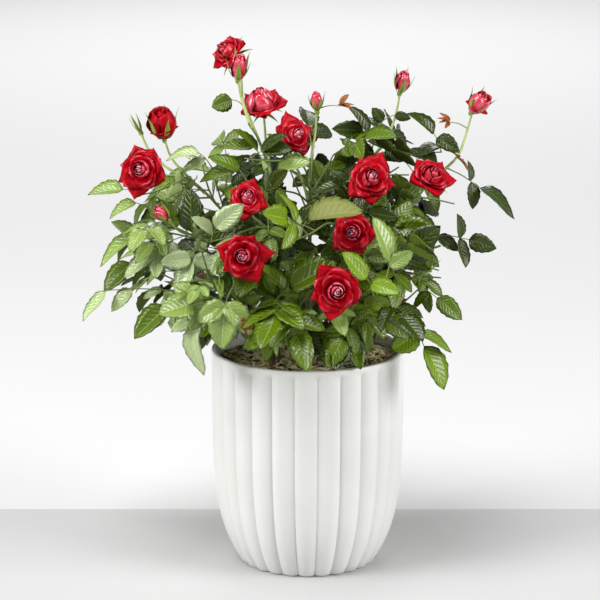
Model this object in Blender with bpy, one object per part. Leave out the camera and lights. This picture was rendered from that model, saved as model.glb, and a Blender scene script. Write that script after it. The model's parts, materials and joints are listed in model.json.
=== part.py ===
"""A small rose bush in a reeded white pot.

Run with: blender --background --python part.py
Units are metres, Z is up, the front of the plant looks along -Y, and the pot stands on Z = 0.
"""

import math
import random

import bmesh
import bpy
import numpy as np
from mathutils import Matrix, Vector
from mathutils.bvhtree import BVHTree
from mathutils.kdtree import KDTree

MM = 0.001
UP = Vector((0, 0, 1))
FRONT = Vector((0, -1, 0))
GOLDEN_ANGLE = math.radians(137.5)
# gap between solids that touch on the real plant
CLEAR = 0.3 * MM

# pot
POT_HEIGHT = 177 * MM
RIM_RADIUS = 78 * MM
BASE_RADIUS = 55.4 * MM
# how quickly the wall swells above the base
POT_SWELL = 5.2
RIM_WALL = 4 * MM
BODY_WALL = 5 * MM
FLOOR = 6 * MM
RIM_EDGE = 0.9 * MM
REEDS = 26
SIDES_PER_REED = 3
REED_DEPTH = 2.6 * MM
# the reeds run out into a smooth lip over this height
LIP = 5 * MM
# turns a groove to where it lies beside the middle of the front
FIRST_GROOVE = math.radians(-8.1)
# heights of the rings that the wall is drawn through
OUTSIDE_HEIGHTS = [0, 10 * MM, 26 * MM, 52 * MM, 100 * MM]
INSIDE_HEIGHTS = [FLOOR, 30 * MM, 80 * MM]
# soil
SOIL_TOP = 166 * MM
SOIL_SIDES = 30
SOIL_GAP = 0.4 * MM
# canes, twigs and shoots
CANE_STEPS = 24
CANE_RADIUS = 1.9 * MM
FORK_RADIUS = 1.4 * MM
ROOT_FLARE = 0.7
FLARE_HEIGHT = 7 * MM
STRAIGHT_FOOT = 1.5 * MM
STEM_RING_SPACING = 24 * MM
SHOOT_RADIUS = 0.95 * MM
# how thin a twig starts inside the one that it grows from, and how much it loses by its tip
TWIG_ROOT = 0.35
TWIG_TAPER = 0.35
# usual lengths of a flower's stalk, its bare neck and a long shoot, and the least and most of a side shoot
FLOWER_STALK = 55 * MM
BARE_NECK = 38 * MM
LONG_SHOOT = 45 * MM
SIDE_SHOOT = (28 * MM, 48 * MM)
# leaves
TRIES = 5
NODE_SPACING = 29 * MM
LEAF_STALK = (26 * MM, 38 * MM)
LEAF_LENGTH = 30 * MM
LEAF_WIDTH = 0.59
# leaves at the middle of the front are this much larger, and it wears off over these distances
FRONT_GROWTH = 0.08
FRONT_DEPTH = 90 * MM
FRONT_HALF_WIDTH = 110 * MM
BLADE_THICKNESS = 1.4 * MM
# where a blade is widest, as a share of its length from the root
WIDEST = 0.38
STALK_RADIUS = 0.85 * MM
# how far a blade's pointed root runs past the middle of its stalk
ROOT_DEPTH = 0.35 * MM
# the two blades of a pair stand this far to each side of their place on the stalk
PAIR_OFFSET = 0.8 * MM
# gaps kept round a shoot, a blade and a leaf's stalk
SHOOT_TO_SHOOT = 12 * MM
SHOOT_TO_CANE = 6 * MM
BLADE_TO_WOOD = 0.6 * MM
BLADE_TO_OWN_TWIG = 0.2 * MM
STALK_TO_WOOD = 1.4 * MM
STALK_TO_BLADE = 1.2 * MM
LEAF_TO_FLOWER = 2 * MM
# canes and twigs are tested as dots this far apart, and a cane as this thick
DOT_SPACING = 1.5 * MM
CANE_ROOM = 2.4 * MM
# no leaf lies this far before a flower, nor before the whole crown's depth where the front shows it
BEFORE_FLOWER = 40 * MM
CROWN_DEPTH = 200 * MM
BEHIND_MIDDLE = 30 * MM
# nearer than this to where its stalk starts, a leaf may touch its own twig
OWN_ROOT = 8 * MM
# the lowest that a leaf hangs, and half the stretch of the rim's front that no leaf hides
LOWEST_LEAF = 160 * MM
OPEN_FRONT = 70 * MM
# where the front of the plant is looked at from, and its height in degrees above the plant
EYE = Vector((-6, -1882, 665)) * MM
VIEW_HEIGHT = 13.4
# the crown's outline as it looks from the front: height, and reach to the left and to the right in mm
CROWN_EDGE = (
    (156, -70, 70),
    (172, -74, 76),
    (176, -99, 104),
    (185, -118, 110),
    (200, -136, 112),
    (224, -156, 110),
    (249, -158, 111),
    (274, -152, 109),
    (298, -142, 108),
    (314, -126, 112),
    (339, -113, 113),
    (356, -105, 103),
    (369, -78, 85),
    (378, -70, 70),
)
# gaps in the crown through which the sky or the soil shows from the front: where they look to be against the
# middle, across and up, and their radius in mm
CROWN_GAPS = (
    (-47, 353, 6),
    (-30, 361, 6),
    (-50, 337, 4),
    (17, 341, 6),
    (-10, 303, 6),
    (-6, 324, 4),
    (7, 264, 3),
    (-80, 293, 4),
    (-82, 311, 4),
    (-100, 273, 6),
    (-113, 235, 4),
    (76, 322, 4),
    (84, 215, 6),
)
# places where the soil shows low in front, kept free only by the leaves nearer than the pot's middle
SOIL_WINDOWS = ((-59, 173, 6), (62, 179, 8), (3, 212, 5))
# depths in mm that a shown leaf is tried at, nearer and farther than wanted
DEPTH_STEPS = (0, -7, 7, -14, 14, -21, 21, -28, 28)
# how much nearer to the front each shown blade's tip is than the one before, and how high its stalk arches
TIP_FORWARD = 2.5 * MM
STALK_ARCH = 1.5 * MM
# cosine of the most that the blade at a stalk's end turns off the stalk's way
SHARPEST_TURN = 0.5

# canes: azimuth from the front towards the right in degrees, reach of the foot, reach and height of
# the tip in mm, share of the way up to where the leaves begin, and side shoots
CANES = {
    "front_low": (-12, 34, 80, 236, 0.14, 5),
    "front_low_left": (-50, 36, 92, 232, 0.18, 4),
    "front_low_right": (34, 36, 86, 236, 0.16, 5),
    "front_left": (-34, 20, 60, 296, 0.34, 5),
    "front_right": (26, 20, 58, 300, 0.34, 5),
    "left_low": (-76, 30, 112, 238, 0.30, 3),
    "left_middle": (-66, 26, 104, 280, 0.38, 3),
    "left_high": (-84, 24, 106, 322, 0.44, 3),
    "left_top": (-78, 12, 48, 362, 0.42, 2),
    "middle": (10, 4, 10, 334, 0.40, 4),
    "right_top": (106, 14, 62, 338, 0.44, 3),
    "right_high": (88, 24, 108, 322, 0.44, 3),
    "right_middle": (68, 28, 112, 270, 0.36, 3),
    "right_low": (56, 36, 90, 218, 0.24, 3),
    "back_left": (-140, 26, 104, 290, 0.38, 3),
    "back_right": (140, 26, 104, 286, 0.38, 3),
    "back_top": (176, 14, 58, 326, 0.42, 4),
    "back_low": (178, 34, 98, 236, 0.26, 4),
    "left_back_low": (-112, 32, 112, 236, 0.30, 3),
    "right_back_low": (124, 33, 104, 234, 0.28, 4),
}
# flowers: cane, place of the middle and width in mm, share open, azimuth and height that it faces in
# degrees
FLOWERS = {
    "top_bloom": ("left_top", (-65, 15, 416), 34, 0.75, -50, 30),
    "top_bud": ("left_top", (-55, 0, 402), 20, 0.3, 10, 70),
    "pink_bloom": ("left_top", (-37, 5, 377), 36, 0.6, -20, 60),
    "centre_bloom": ("middle", (-9, -15, 354), 36, 0.85, 30, 25),
    "centre_bud": ("middle", (7, 5, 375), 15, 0.15, -10, 80),
    "left_half_open": ("left_high", (-115, 0, 356), 24, 0.45, -20, 75),
    "left_green_bud": ("left_high", (-135, 10, 355), 9, 0.0, -60, 65),
    "low_green_bud": ("front_low_left", (-67, -100, 248), 8, 0.0, -10, 60),
    "right_spent_bud": ("right_middle", (94, -60, 256), 10, 0.0, 40, 50),
    "left_bloom": ("left_high", (-130, -50, 332), 42, 1.0, -12, 12),
    "left_small_bud": ("left_middle", (-112, -60, 298), 15, 0.25, -50, 45),
    "inner_bloom": ("front_left", (-47, -60, 313), 34, 0.9, 10, 35),
    "front_left_bloom": ("front_left", (-50, -95, 273), 44, 1.0, -5, 12),
    "front_right_bloom": ("front_low_right", (22, -105, 248), 44, 1.0, 5, 8),
    "shaded_bloom": ("front_right", (34, -78, 288), 36, 0.9, -10, 15),
    "right_bloom": ("front_right", (49, -60, 328), 44, 1.0, 10, 28),
    "side_bloom": ("right_high", (97, -40, 326), 36, 0.8, 25, 45),
    "tall_bud": ("right_top", (75, 25, 387), 18, 0.25, 25, 65),
    "outer_bud": ("right_high", (134, 10, 373), 19, 0.4, 45, 50),
    "back_left_bloom": ("back_left", (-52, 124, 276), 36, 1.0, -150, 25),
    "back_left_bud": ("back_left", (-96, 104, 262), 17, 0.3, -140, 50),
    "back_right_bloom": ("back_right", (54, 116, 294), 42, 1.0, 150, 25),
    "back_top_bloom": ("back_top", (-9, 108, 333), 36, 0.9, 178, 35),
    "back_low_bloom": ("back_low", (26, 146, 204), 42, 1.0, 172, 10),
    "left_back_bloom": ("left_back_low", (-104, 104, 202), 40, 0.95, -135, 15),
    "right_back_bloom": ("right_back_low", (72, 118, 192), 36, 0.95, 140, 15),
}
# ends of the long shoots whose leaves make the furthest tips of the crown, in mm
LONG_SHOOTS = {
    "left_low": ((-104, -62, 214),),
    "left_high": ((-86, 4, 334),),
    "right_high": ((98, 12, 340),),
    "right_middle": ((104, -50, 246),),
    "right_top": ((72, -6, 326),),
    "middle": ((-14, 0, 322), (20, -8, 336)),
    "back_top": ((-30, 66, 322), (34, 68, 324)),
}
# leaves that show clearly from the front, in mm to the right and up as they look against the middle: cane,
# depth, start and end of the stalk, and each blade's share of the stalk, tip and how wide it looks
SHOWN_LEAVES = {
    "arching": (
        "right_high", 5, (111, 324), (137, 308),
        ((0.70, (129, 330), 6), (0.72, (134, 291), 10), (1, (169, 289), 10)),
    ),
    "reaching": (
        "right_middle", -25, (99, 269), (129, 266),
        ((0.15, (121, 257), 10), (0.78, (120, 287), 8), (0.75, (128, 243), 8), (1, (150, 259), 15)),
    ),
    "lower_right": (
        "right_low", -45, (90, 226), (104, 218),
        ((0.45, (96, 205), 9), (0.5, (84, 210), 8), (1, (125, 201), 15)),
    ),
    "hanging_right": (
        "right_low", -50, (84, 198), (94, 178),
        ((0.5, (119, 178), 9), (0.45, (68, 174), 21), (1, (115, 143), 15)),
    ),
    "top_right": (
        "right_top", 15, (106, 337), (100, 352),
        ((0.3, (88, 339), 7), (0.7, (120, 339), 12), (1, (82, 370), 11)),
    ),
    "side_of_top": ("right_high", 5, (110, 321), (103, 329), ((1, (80, 342), 10),)),
    "high_right": (
        "right_top", 8, (63, 339), (44, 354),
        ((0.1, (78, 330), 13), (0.15, (47, 346), 7), (0.8, (32, 374), 10), (1, (21, 356), 15)),
    ),
    "by_tall_bud": ("right_top", 25, (56, 359), (69, 367), ((0.3, (51, 372), 10), (1, (81, 364), 8))),
    "by_top_bloom": ("left_top", 12, (-50, 373), (-60, 379), ((1, (-76, 373), 15),)),
    "above_middle": ("left_top", -8, (-37, 331), (-43, 341), ((0.6, (-59, 356), 7), (1, (-70, 344), 10))),
    "behind_centre": ("middle", -12, (-46, 331), (-35, 338), ((0.8, (-17, 352), 7), (1, (-13, 341), 11))),
    "pale_middle": ("middle", -30, (-33, 311), (-25, 323), ((0.4, (-37, 331), 7), (1, (1, 332), 10))),
    "left_of_middle": (
        "front_left", -25, (-49, 314), (-57, 324),
        ((0.7, (-76, 337), 11), (1, (-87, 316), 12)),
    ),
    "pale_upper_left": (
        "left_high", -12, (-76, 324), (-86, 336),
        ((0.6, (-101, 321), 9), (1, (-113, 334), 10)),
    ),
    "long_left": ("left_high", -22, (-135, 302), (-147, 307), ((1, (-176, 306), 13),)),
    "left_arch": (
        "left_middle", -40, (-123, 287), (-137, 296),
        ((0.3, (-126, 298), 6), (1, (-160, 286), 10)),
    ),
    "left_fan": (
        "left_middle", -42, (-128, 277), (-138, 268),
        ((0.9, (-157, 281), 11), (0.8, (-156, 250), 10), (1, (-170, 249), 12)),
    ),
    "dark_left": (
        "left_low", -32, (-114, 236), (-142, 247),
        ((0.3, (-116, 256), 7), (0.5, (-138, 253), 11), (1, (-166, 225), 16)),
    ),
    "low_left": (
        "left_low", -40, (-109, 224), (-163, 224),
        ((0.15, (-134, 220), 7), (0.6, (-160, 208), 12), (1, (-183, 199), 10)),
    ),
    "under_left": (
        "front_low_left", -58, (-97, 220), (-114, 211),
        ((0.3, (-110, 206), 7), (1, (-141, 184), 19)),
    ),
    "hanging_left": (
        "front_low_left", -74, (-89, 211), (-92, 195),
        ((0.6, (-111, 190), 11), (1, (-92, 152), 14)),
    ),
    "pale_fan": (
        "front_low_left", -80, (-88, 266), (-93, 249),
        ((0.95, (-118, 248), 16), (0.95, (-69, 244), 15), (1, (-104, 214), 16)),
    ),
    "dark_upper_left": ("left_middle", -52, (-87, 260), (-93, 272), ((1, (-94, 307), 21),)),
    "pale_centre_left": (
        "front_left", -60, (-78, 264), (-74, 275),
        ((0.5, (-89, 286), 8), (1, (-53, 294), 18)),
    ),
    "khaki_arch": ("front_right", -96, (-9, 266), (-1, 281), ((1, (42, 296), 13),)),
    "bright_centre": (
        "front_right", -100, (63, 234), (67, 248),
        ((0.66, (84, 256), 13), (1, (56, 285), 16)),
    ),
    "broad_low": (
        "front_low_left", -88, (-61, 226), (-67, 212),
        ((0.9, (-90, 198), 17), (0.85, (-44, 188), 18), (1, (-70, 175), 24)),
    ),
    "centre_broad": (
        "front_low", -80, (-27, 214), (-15, 226),
        ((0.8, (-38, 248), 13), (1, (23, 248), 21)),
    ),
    "right_of_centre": (
        "front_low_right", -92, (53, 220), (48, 234),
        ((0.6, (73, 224), 13), (1, (28, 256), 15)),
    ),
    "low_middle": (
        "front_low", -62, (-29, 201), (-33, 190),
        ((0.8, (-10, 180), 13), (0.85, (-52, 175), 15), (1, (-32, 164), 11)),
    ),
    "low_centre": (
        "front_low", -62, (11, 200), (13, 189),
        ((0.7, (-5, 162), 14), (0.75, (30, 169), 8), (1, (11, 162), 11)),
    ),
    "low_right": (
        "front_low_right", -70, (36, 215), (37, 203),
        ((0.7, (23, 188), 10), (0.8, (67, 188), 10), (1, (51, 174), 18)),
    ),
    "dark_right": (
        "right_middle", -58, (76, 241), (76, 253),
        ((0.5, (97, 243), 10), (1, (106, 277), 23)),
    ),
    "upper_right_of_centre": (
        "front_right", -44, (40, 312), (28, 312),
        ((0.7, (18, 324), 8), (1, (3, 306), 11)),
    ),
}


# the rule that the plant grows by


def polar(azimuth, reach, height):
    angle = math.radians(azimuth)
    return Vector((reach * math.sin(angle), -reach * math.cos(angle), height))


def facing(azimuth, height):
    rise = math.radians(height)
    return polar(azimuth, math.cos(rise), math.sin(rise))


SEEN_FROM = np.array(facing(0, VIEW_HEIGHT))


def bezier(a, b, c, d, steps):
    shares = [i / steps for i in range(steps + 1)]
    return [a * (1 - t) ** 3 + b * 3 * (1 - t) ** 2 * t + c * 3 * (1 - t) * t * t + d * t**3 for t in shares]


def length_of(line):
    return sum((q - p).length for p, q in zip(line, line[1:]))


def along(line, share):
    """Place and direction at a share of a line's length."""
    left = share * length_of(line)
    for p, q in zip(line, line[1:]):
        step = (q - p).length
        if left <= step or q is line[-1]:
            return p.lerp(q, min(left / step, 1)), (q - p).normalized()
        left -= step


def dotted(line, spacing):
    count = max(2, int(length_of(line) / spacing))
    return [along(line, i / count)[0] for i in range(count + 1)]


def shaken(rng, amount):
    return Vector([rng.uniform(-amount, amount) for _ in range(3)])


def outward(p):
    flat = Vector((p.x, p.y, 0))
    return flat.normalized() if flat.length > 4 * MM else FRONT.copy()


def to_light(p):
    """Leaves turn up and away from the middle, and those of the front half turn to the front too."""
    forward = min(max(0.35 - p.y / 0.10, 0), 0.75)
    return UP * 0.55 + outward(p) * 0.55 + FRONT * forward


def clear_of_pot(points):
    """Nothing sinks into the pot or the soil, hangs low, or hides the rim along the front."""
    reach = np.hypot(points[:, 0], points[:, 1])
    height = points[:, 2]
    above = 3 * MM
    in_mouth = reach < RIM_RADIUS + RIM_WALL
    sunk = in_mouth & (height < SOIL_TOP + above)
    on_rim = in_mouth & (reach > RIM_RADIUS - RIM_WALL - BODY_WALL) & (height < POT_HEIGHT + above)
    front = (np.abs(points[:, 0]) < OPEN_FRONT) & (points[:, 1] < 0)
    past_rim = np.maximum(0, -points[:, 1] - RIM_RADIUS)
    hides_rim = height < POT_HEIGHT + 1 * MM + past_rim * math.tan(math.radians(VIEW_HEIGHT))
    return not (sunk | on_rim | front & hides_rim | (height < LOWEST_LEAF)).any()


def clear_of(seen, places):
    """Whether the points keep off round places, each given by where it is seen and its radius."""
    places = np.array(places) * MM
    away = np.hypot(seen[:, None, 0] - places[:, 0], seen[:, None, 2] - places[:, 1])
    return (away > places[:, 2]).all()


def inside_outline(points):
    """The leaves that aren't set by hand keep within the crown's outline, and off its gaps, as seen in front."""
    eye = np.array(EYE)
    seen = eye + (points - eye) * (eye[1] / (eye[1] - points[:, 1]))[:, None]
    heights, lefts, rights = np.array(CROWN_EDGE).T * MM
    left = np.interp(seen[:, 2], heights, lefts)
    right = np.interp(seen[:, 2], heights, rights)
    level = (seen[:, 2] > heights[0]) & (seen[:, 2] < heights[-1])
    within = level & (seen[:, 0] > left) & (seen[:, 0] < right)
    near = seen[points[:, 1] < 0]
    return within.all() and clear_of(seen, CROWN_GAPS) and clear_of(near, SOIL_WINDOWS)


def placed_at(across, height, depth):
    """The place at this depth that looks from the front as if it were at the plant's middle."""
    return EYE + (Vector((across, 0, height)) * MM - EYE) * (1 - depth / EYE.y)


def gap_between(points, lines):
    """Least distance from the points to the lines."""
    starts = np.array([p for line in lines for p in line[:-1]])
    spans = np.array([q for line in lines for q in line[1:]]) - starts
    away = np.array(points)[:, None] - starts
    share = np.clip((away * spans).sum(-1) / (spans * spans).sum(-1), 0, 1)
    return np.linalg.norm(away - share[..., None] * spans, axis=-1).min()


def grow_canes():
    """Each cane is one smooth line, cut in two: the bare part and the part among the leaves."""
    bare, leafy = {}, {}
    for name, (azimuth, foot_reach, reach, height, fork, _) in CANES.items():
        foot = polar(azimuth, foot_reach, 0) * MM + UP * (SOIL_TOP + CLEAR)
        tip = polar(azimuth, reach, height) * MM
        rise = tip.z - foot.z
        bend = tip - outward(tip) * reach * MM * 0.3 - UP * rise * 0.05
        line = bezier(foot, foot + UP * rise * 0.45, bend, tip, CANE_STEPS)
        cut = round(CANE_STEPS * fork)
        start = line[cut] + (line[cut + 1] - line[cut]).normalized() * CLEAR
        bare[name] = line[: cut + 1]
        leafy[name] = [start] + line[cut + 4 : -2 : 5] + [tip]
    return bare, leafy


def nearest_start(line, end, usual, first):
    """Of eight places up a cane, the one whose distance to a twig's end is nearest the usual, and lower."""
    starts = [along(line, first + 0.1 * i) for i in range(8)]
    return min(starts, key=lambda s: abs((end - s[0]).length - usual) + 0.4 * max(0, s[0].z - end.z))


def shoot_to(line, end):
    """A long shoot from a cane to an end."""
    p, way = nearest_start(line, end, LONG_SHOOT, 0.2)
    reach = (end - p).length
    there = (end - p).normalized()
    neck = end - (there + UP * 0.2) * reach * 0.3
    return bezier(p, p + (way + there) * reach * 0.2, neck, end, 3)


def grow_twigs(bare, leafy):
    """Each cane's twigs, as (line, radius, share where leaves start, share where they end)."""
    twigs = {name: [(line, FORK_RADIUS, 0.10, 1.0)] for name, line in leafy.items()}
    for name, place, width, _, azimuth, height in FLOWERS.values():
        face = facing(azimuth, height)
        base = Vector(place) * MM - face * width * MM * 0.30
        p, way = nearest_start(leafy[name], base, FLOWER_STALK, 0.25)
        reach = (base - p).length
        neck = base - (face * 0.7 + UP * 0.5).normalized() * reach * 0.35
        stalk = bezier(p, p + way * reach * 0.4, neck, base, 3)
        twigs[name].append((stalk, SHOOT_RADIUS, 0.12, max(0.35, 1 - BARE_NECK / length_of(stalk))))
    for name, ends in LONG_SHOOTS.items():
        for end in ends:
            twigs[name].append((shoot_to(leafy[name], Vector(end) * MM), SHOOT_RADIUS, 0.30, 1.0))
    for name, depth, start, _, _ in SHOWN_LEAVES.values():
        ends = [placed_at(*start, (depth + step) * MM) for step in DEPTH_STEPS]
        shoots = [shoot_to(leafy[name], end) for end in ends]
        others = [twig[0] for other in CANES if other != name for twig in twigs[other]] + list(bare.values())
        shoot = max(shoots, key=lambda line: min(gap_between(line[1:], others), SHOOT_TO_CANE))
        twigs[name].append((shoot, SHOOT_RADIUS, 0.30, 0.75))
    for name in CANES:
        grow_side_shoots(name, bare, leafy[name], twigs)
    return twigs


def grow_side_shoots(name, bare, line, twigs):
    """Seeded shoots round a cane, each kept clear of every other cane and its twigs."""
    rng = random.Random(name)
    turn = rng.uniform(0, math.tau)
    count = CANES[name][5]
    for i in range(count):
        p, way = along(line, 0.12 + 0.72 * i / count)
        for _ in range(TRIES):
            turn += GOLDEN_ANGLE
            side = Matrix.Rotation(turn, 3, way) @ way.orthogonal().normalized()
            there = (side + way * 0.35 + outward(p) * 0.55 + UP * 0.15).normalized()
            reach = rng.uniform(*SIDE_SHOOT)
            end = p + there * reach
            neck = end - (there + UP * 0.3).normalized() * reach * 0.3
            shoot = bezier(p, p + (there + way).normalized() * reach * 0.33, neck, end, 2)
            others = [twig[0] for other in CANES if other != name for twig in twigs[other]]
            free = gap_between(shoot[1:], others) > SHOOT_TO_SHOOT
            free = free and gap_between(shoot[1:], bare.values()) > SHOOT_TO_CANE
            if free and clear_of_pot(np.array(shoot[1:])):
                twigs[name].append((shoot, SHOOT_RADIUS, 0.30, 1.0))
                break


# corners of a leaf blade as shares of its length, width and thickness, and its eight faces
BLADE_CORNERS = (
    (0, 0, 0),
    (1, 0, 0),
    (WIDEST, 0.5, 0),
    (WIDEST, -0.5, 0),
    (WIDEST, 0, 0.8),
    (WIDEST, 0, -0.2),
)
BLADE_FACES = ((0, 2, 4), (2, 1, 4), (1, 3, 4), (3, 0, 4), (2, 0, 5), (1, 2, 5), (3, 1, 5), (0, 3, 5))
# places on a blade for the tests against the pot and the flowers, as shares of its length and width
HALF_WIDTHS = ((0.2, 0.34), (0.4, 0.5), (0.6, 0.42), (0.8, 0.24))
BLADE_PLACES = [(0, 0), (1, 0)] + [(s, w * side) for s, w in HALF_WIDTHS for side in (-1, -0.4, 0.4, 1)]


def blade_places(root, lead, normal, length, width):
    across = lead.cross(normal)
    return [root + lead * length * s + across * width * w for s, w in BLADE_PLACES]


def roomy_blades(blades):
    """The blades as one tree, a little larger and thicker than life, so that what misses it is clear."""
    points, faces = [], []
    for root, lead, normal, length, width in blades:
        across = lead.cross(normal)
        faces += [[i + len(points) for i in face] for face in BLADE_FACES]
        points += [
            root + lead * length * 1.02 * s + across * width * 1.04 * w + normal * 2.2 * MM * h
            for s, w, h in BLADE_CORNERS
        ]
    return BVHTree.FromPolygons(points, faces)


def shape_spray(p, way, turn, rng, at_end, five):
    """One leaf: a drooping stalk with three or five blades, as (root, lead, normal, length, width)."""
    side = Matrix.Rotation(turn, 3, way) @ way.orthogonal().normalized()
    low = min(max((0.30 - p.z) / 0.12, 0), 1)
    if at_end:
        there = side * 0.25 + way * 0.9
    else:
        there = side * 0.85 + way * 0.4
    there = ((there + outward(p) * 0.45 + UP * 0.1).normalized() + shaken(rng, 0.2)).normalized()
    near_front = min(max(-p.y / FRONT_DEPTH, 0), 1) * max(1 - abs(p.x) / FRONT_HALF_WIDTH, 0)
    reach = rng.uniform(*LEAF_STALK)
    size = LEAF_LENGTH * rng.uniform(0.80, 1.10) * (0.90 + 0.14 * low) * (1 + FRONT_GROWTH * near_front)
    sag = rng.uniform(0.10, 0.30) + 0.35 * low
    normal = to_light(p) + shaken(rng, 0.35)
    stalk = [p + there * reach * s - UP * sag * reach * s * s for s in (0, 0.5, 1)]
    pairs = ((0.45, 0.82), (0.80, 0.96)) if five else ((0.68, 0.92),)
    places = [(share, hand, scale) for share, scale in pairs for hand in (-1, 1)] + [(1.0, 0, 1.12)]
    blades = []
    for share, hand, scale in places:
        root, stalk_way = along(stalk, share)
        face = (normal - stalk_way * normal.dot(stalk_way)).normalized()
        angle = hand * math.radians(rng.uniform(50, 66)) + rng.uniform(-0.12, 0.12)
        lead = Matrix.Rotation(angle, 3, face) @ stalk_way
        lead = (lead - UP * rng.uniform(0, 0.20 + 0.20 * low)).normalized()
        face = Matrix.Rotation(-hand * math.radians(rng.uniform(2, 20)), 3, stalk_way) @ face
        face = (face - lead * face.dot(lead)).normalized()
        root = root + stalk_way * hand * PAIR_OFFSET
        length = size * scale
        blades.append((root, lead, face, length, length * LEAF_WIDTH * rng.uniform(0.92, 1.08)))
    return stalk, blades


def off_flowers(points):
    """No blade lies on a flower."""
    gaps = [
        np.linalg.norm(points - np.array(place) * MM, axis=1).min() - width * MM / 2
        for _, place, width, _, _, _ in FLOWERS.values()
    ]
    return min(gaps) > LEAF_TO_FLOWER


def misses_flowers(points):
    """No blade lies close before a flower, or between it and someone in front of the plant."""
    for _, place, width, _, azimuth, height in FLOWERS.values():
        away = points - np.array(place) * MM
        radius = width * MM / 2
        before = (np.array(facing(azimuth, height)), BEFORE_FLOWER)
        in_view = (SEEN_FROM, 0 if place[1] * MM > BEHIND_MIDDLE else CROWN_DEPTH)
        for way, depth in (before, in_view):
            ahead = away @ way
            aside = np.linalg.norm(away - ahead[:, None] * way, axis=1)
            if ((ahead > 0) & (ahead < depth) & (aside < radius * 0.9)).any():
                return False
    return True


def shown_blade(root, tip, looks_wide):
    """A blade from its root to its tip, turned about its rib until it looks this wide from the front."""
    lead = (tip - root).normalized()
    length = (tip - root).length
    width = max(length * LEAF_WIDTH, looks_wide)
    toward = (EYE - root).normalized()
    face = (toward - lead * toward.dot(lead)).normalized()
    turn = math.acos(looks_wide / width)
    faces = [Matrix.Rotation(turn * hand, 3, lead) @ face for hand in (-1, 1)]
    return root, lead, max(faces, key=lambda way: way.z), length, width


def place_shown_leaves(twigs, wood, leaves, sprays):
    """The leaves set by hand, each at the first of its depths where it touches nothing."""
    for name, _, start, end, shown in SHOWN_LEAVES.values():
        ends = [line[-1] for line, _, _, _ in twigs[name]]
        p = min(ends, key=lambda q: (q - placed_at(*start, q.y)).length)
        for step in DEPTH_STEPS:
            depth = p.y + step * MM
            stalk_end = placed_at(*end, depth)
            stalk = [p, p.lerp(stalk_end, 0.5) + UP * STALK_ARCH, stalk_end]
            blades = []
            for i, (share, tip, width) in enumerate(shown):
                tip = placed_at(*tip, depth - TIP_FORWARD * (i + 1))
                blades.append(shown_blade(along(stalk, share)[0], tip, width * MM))
            points = np.array([q for blade in blades for q in blade_places(*blade)] + stalk[1:])
            free = (stalk_end - stalk[1]).normalized().dot(blades[-1][1]) > SHARPEST_TURN
            free = free and off_flowers(points)
            if free and misses_plant(name, p, stalk, blades, points, wood, sprays):
                leaves[name].append((stalk, blades))
                break


def misses_plant(name, p, stalk, blades, points, wood, sprays):
    """No blade or stalk touches a limb, a twig or another spray. One that fits is added to the sprays."""
    middle = Vector(points.mean(axis=0))
    radius = max((Vector(q) - middle).length for q in points) + 4 * MM
    tree = roomy_blades(blades)
    beads = dotted(stalk, 2 * DOT_SPACING)[2:]
    for q, i, _ in wood["tree"].find_range(middle, radius):
        owner, thick = wood["owners"][i]
        own = owner == name
        if own and (q - p).length < OWN_ROOT:
            continue
        if tree.find_nearest(q)[3] < thick + (BLADE_TO_OWN_TWIG if own else BLADE_TO_WOOD):
            return False
        if not own and min((q - bead).length for bead in beads) < thick + STALK_TO_WOOD:
            return False
    for other_middle, other_radius, other_tree, other_beads in sprays:
        if (other_middle - middle).length > radius + other_radius:
            continue
        if tree.overlap(other_tree):
            return False
        if min(other_tree.find_nearest(q)[3] for q in beads) < STALK_TO_BLADE:
            return False
        if min(tree.find_nearest(q)[3] for q in other_beads) < STALK_TO_BLADE:
            return False
    sprays.append((middle, radius, tree, beads))
    return True


def dot_wood(bare, twigs):
    """Every limb and twig as closely set dots, with the cane that each belongs to and its radius."""
    dots = [(q, "", CANE_ROOM) for line in bare.values() for q in dotted(line, DOT_SPACING)]
    for name in CANES:
        for line, radius, _, _ in twigs[name]:
            dots += [(q, name, radius) for q in dotted(line, DOT_SPACING)]
    tree = KDTree(len(dots))
    for i, (q, _, _) in enumerate(dots):
        tree.insert(q, i)
    tree.balance()
    return {"tree": tree, "owners": [(owner, thick) for _, owner, thick in dots]}


def grow_leaves(bare, twigs):
    """Each cane's sprays: leaves at even spacing up its twigs, left out where none of the tries fits."""
    wood = dot_wood(bare, twigs)
    leaves = {name: [] for name in CANES}
    sprays = []
    place_shown_leaves(twigs, wood, leaves, sprays)
    for name in CANES:
        rng = random.Random(name + " leaves")
        turn = rng.uniform(0, math.tau)
        for line, _, first, last in twigs[name]:
            count = int((last - first) * length_of(line) / NODE_SPACING + 0.3)
            for j in range(count + 1):
                turn += GOLDEN_ANGLE
                p, way = along(line, last - (last - first) * (count - j) / max(count, 1))
                for attempt in range(TRIES):
                    five = rng.random() < 0.6 and attempt < TRIES - 1
                    at_end = j == count and last == 1.0
                    stalk, blades = shape_spray(p, way, turn + attempt * 0.9, rng, at_end, five)
                    points = np.array([q for blade in blades for q in blade_places(*blade)] + stalk[1:])
                    free = clear_of_pot(points) and inside_outline(points)
                    free = free and off_flowers(points) and misses_flowers(points)
                    if free and misses_plant(name, p, stalk, blades, points, wood, sprays):
                        leaves[name].append((stalk, blades))
                        break
    return leaves


# modelling tools


def clear_scene():
    for obj in list(bpy.data.objects):
        bpy.data.objects.remove(obj)


def make_material(name, colour, roughness, metallic=0.0):
    material = bpy.data.materials.new(name)
    material.use_nodes = True
    shader = material.node_tree.nodes["Principled BSDF"]
    shader.inputs["Base Color"].default_value = (*colour, 1)
    shader.inputs["Roughness"].default_value = roughness
    shader.inputs["Metallic"].default_value = metallic
    material.diffuse_color = (*colour, 1)
    return material


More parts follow.
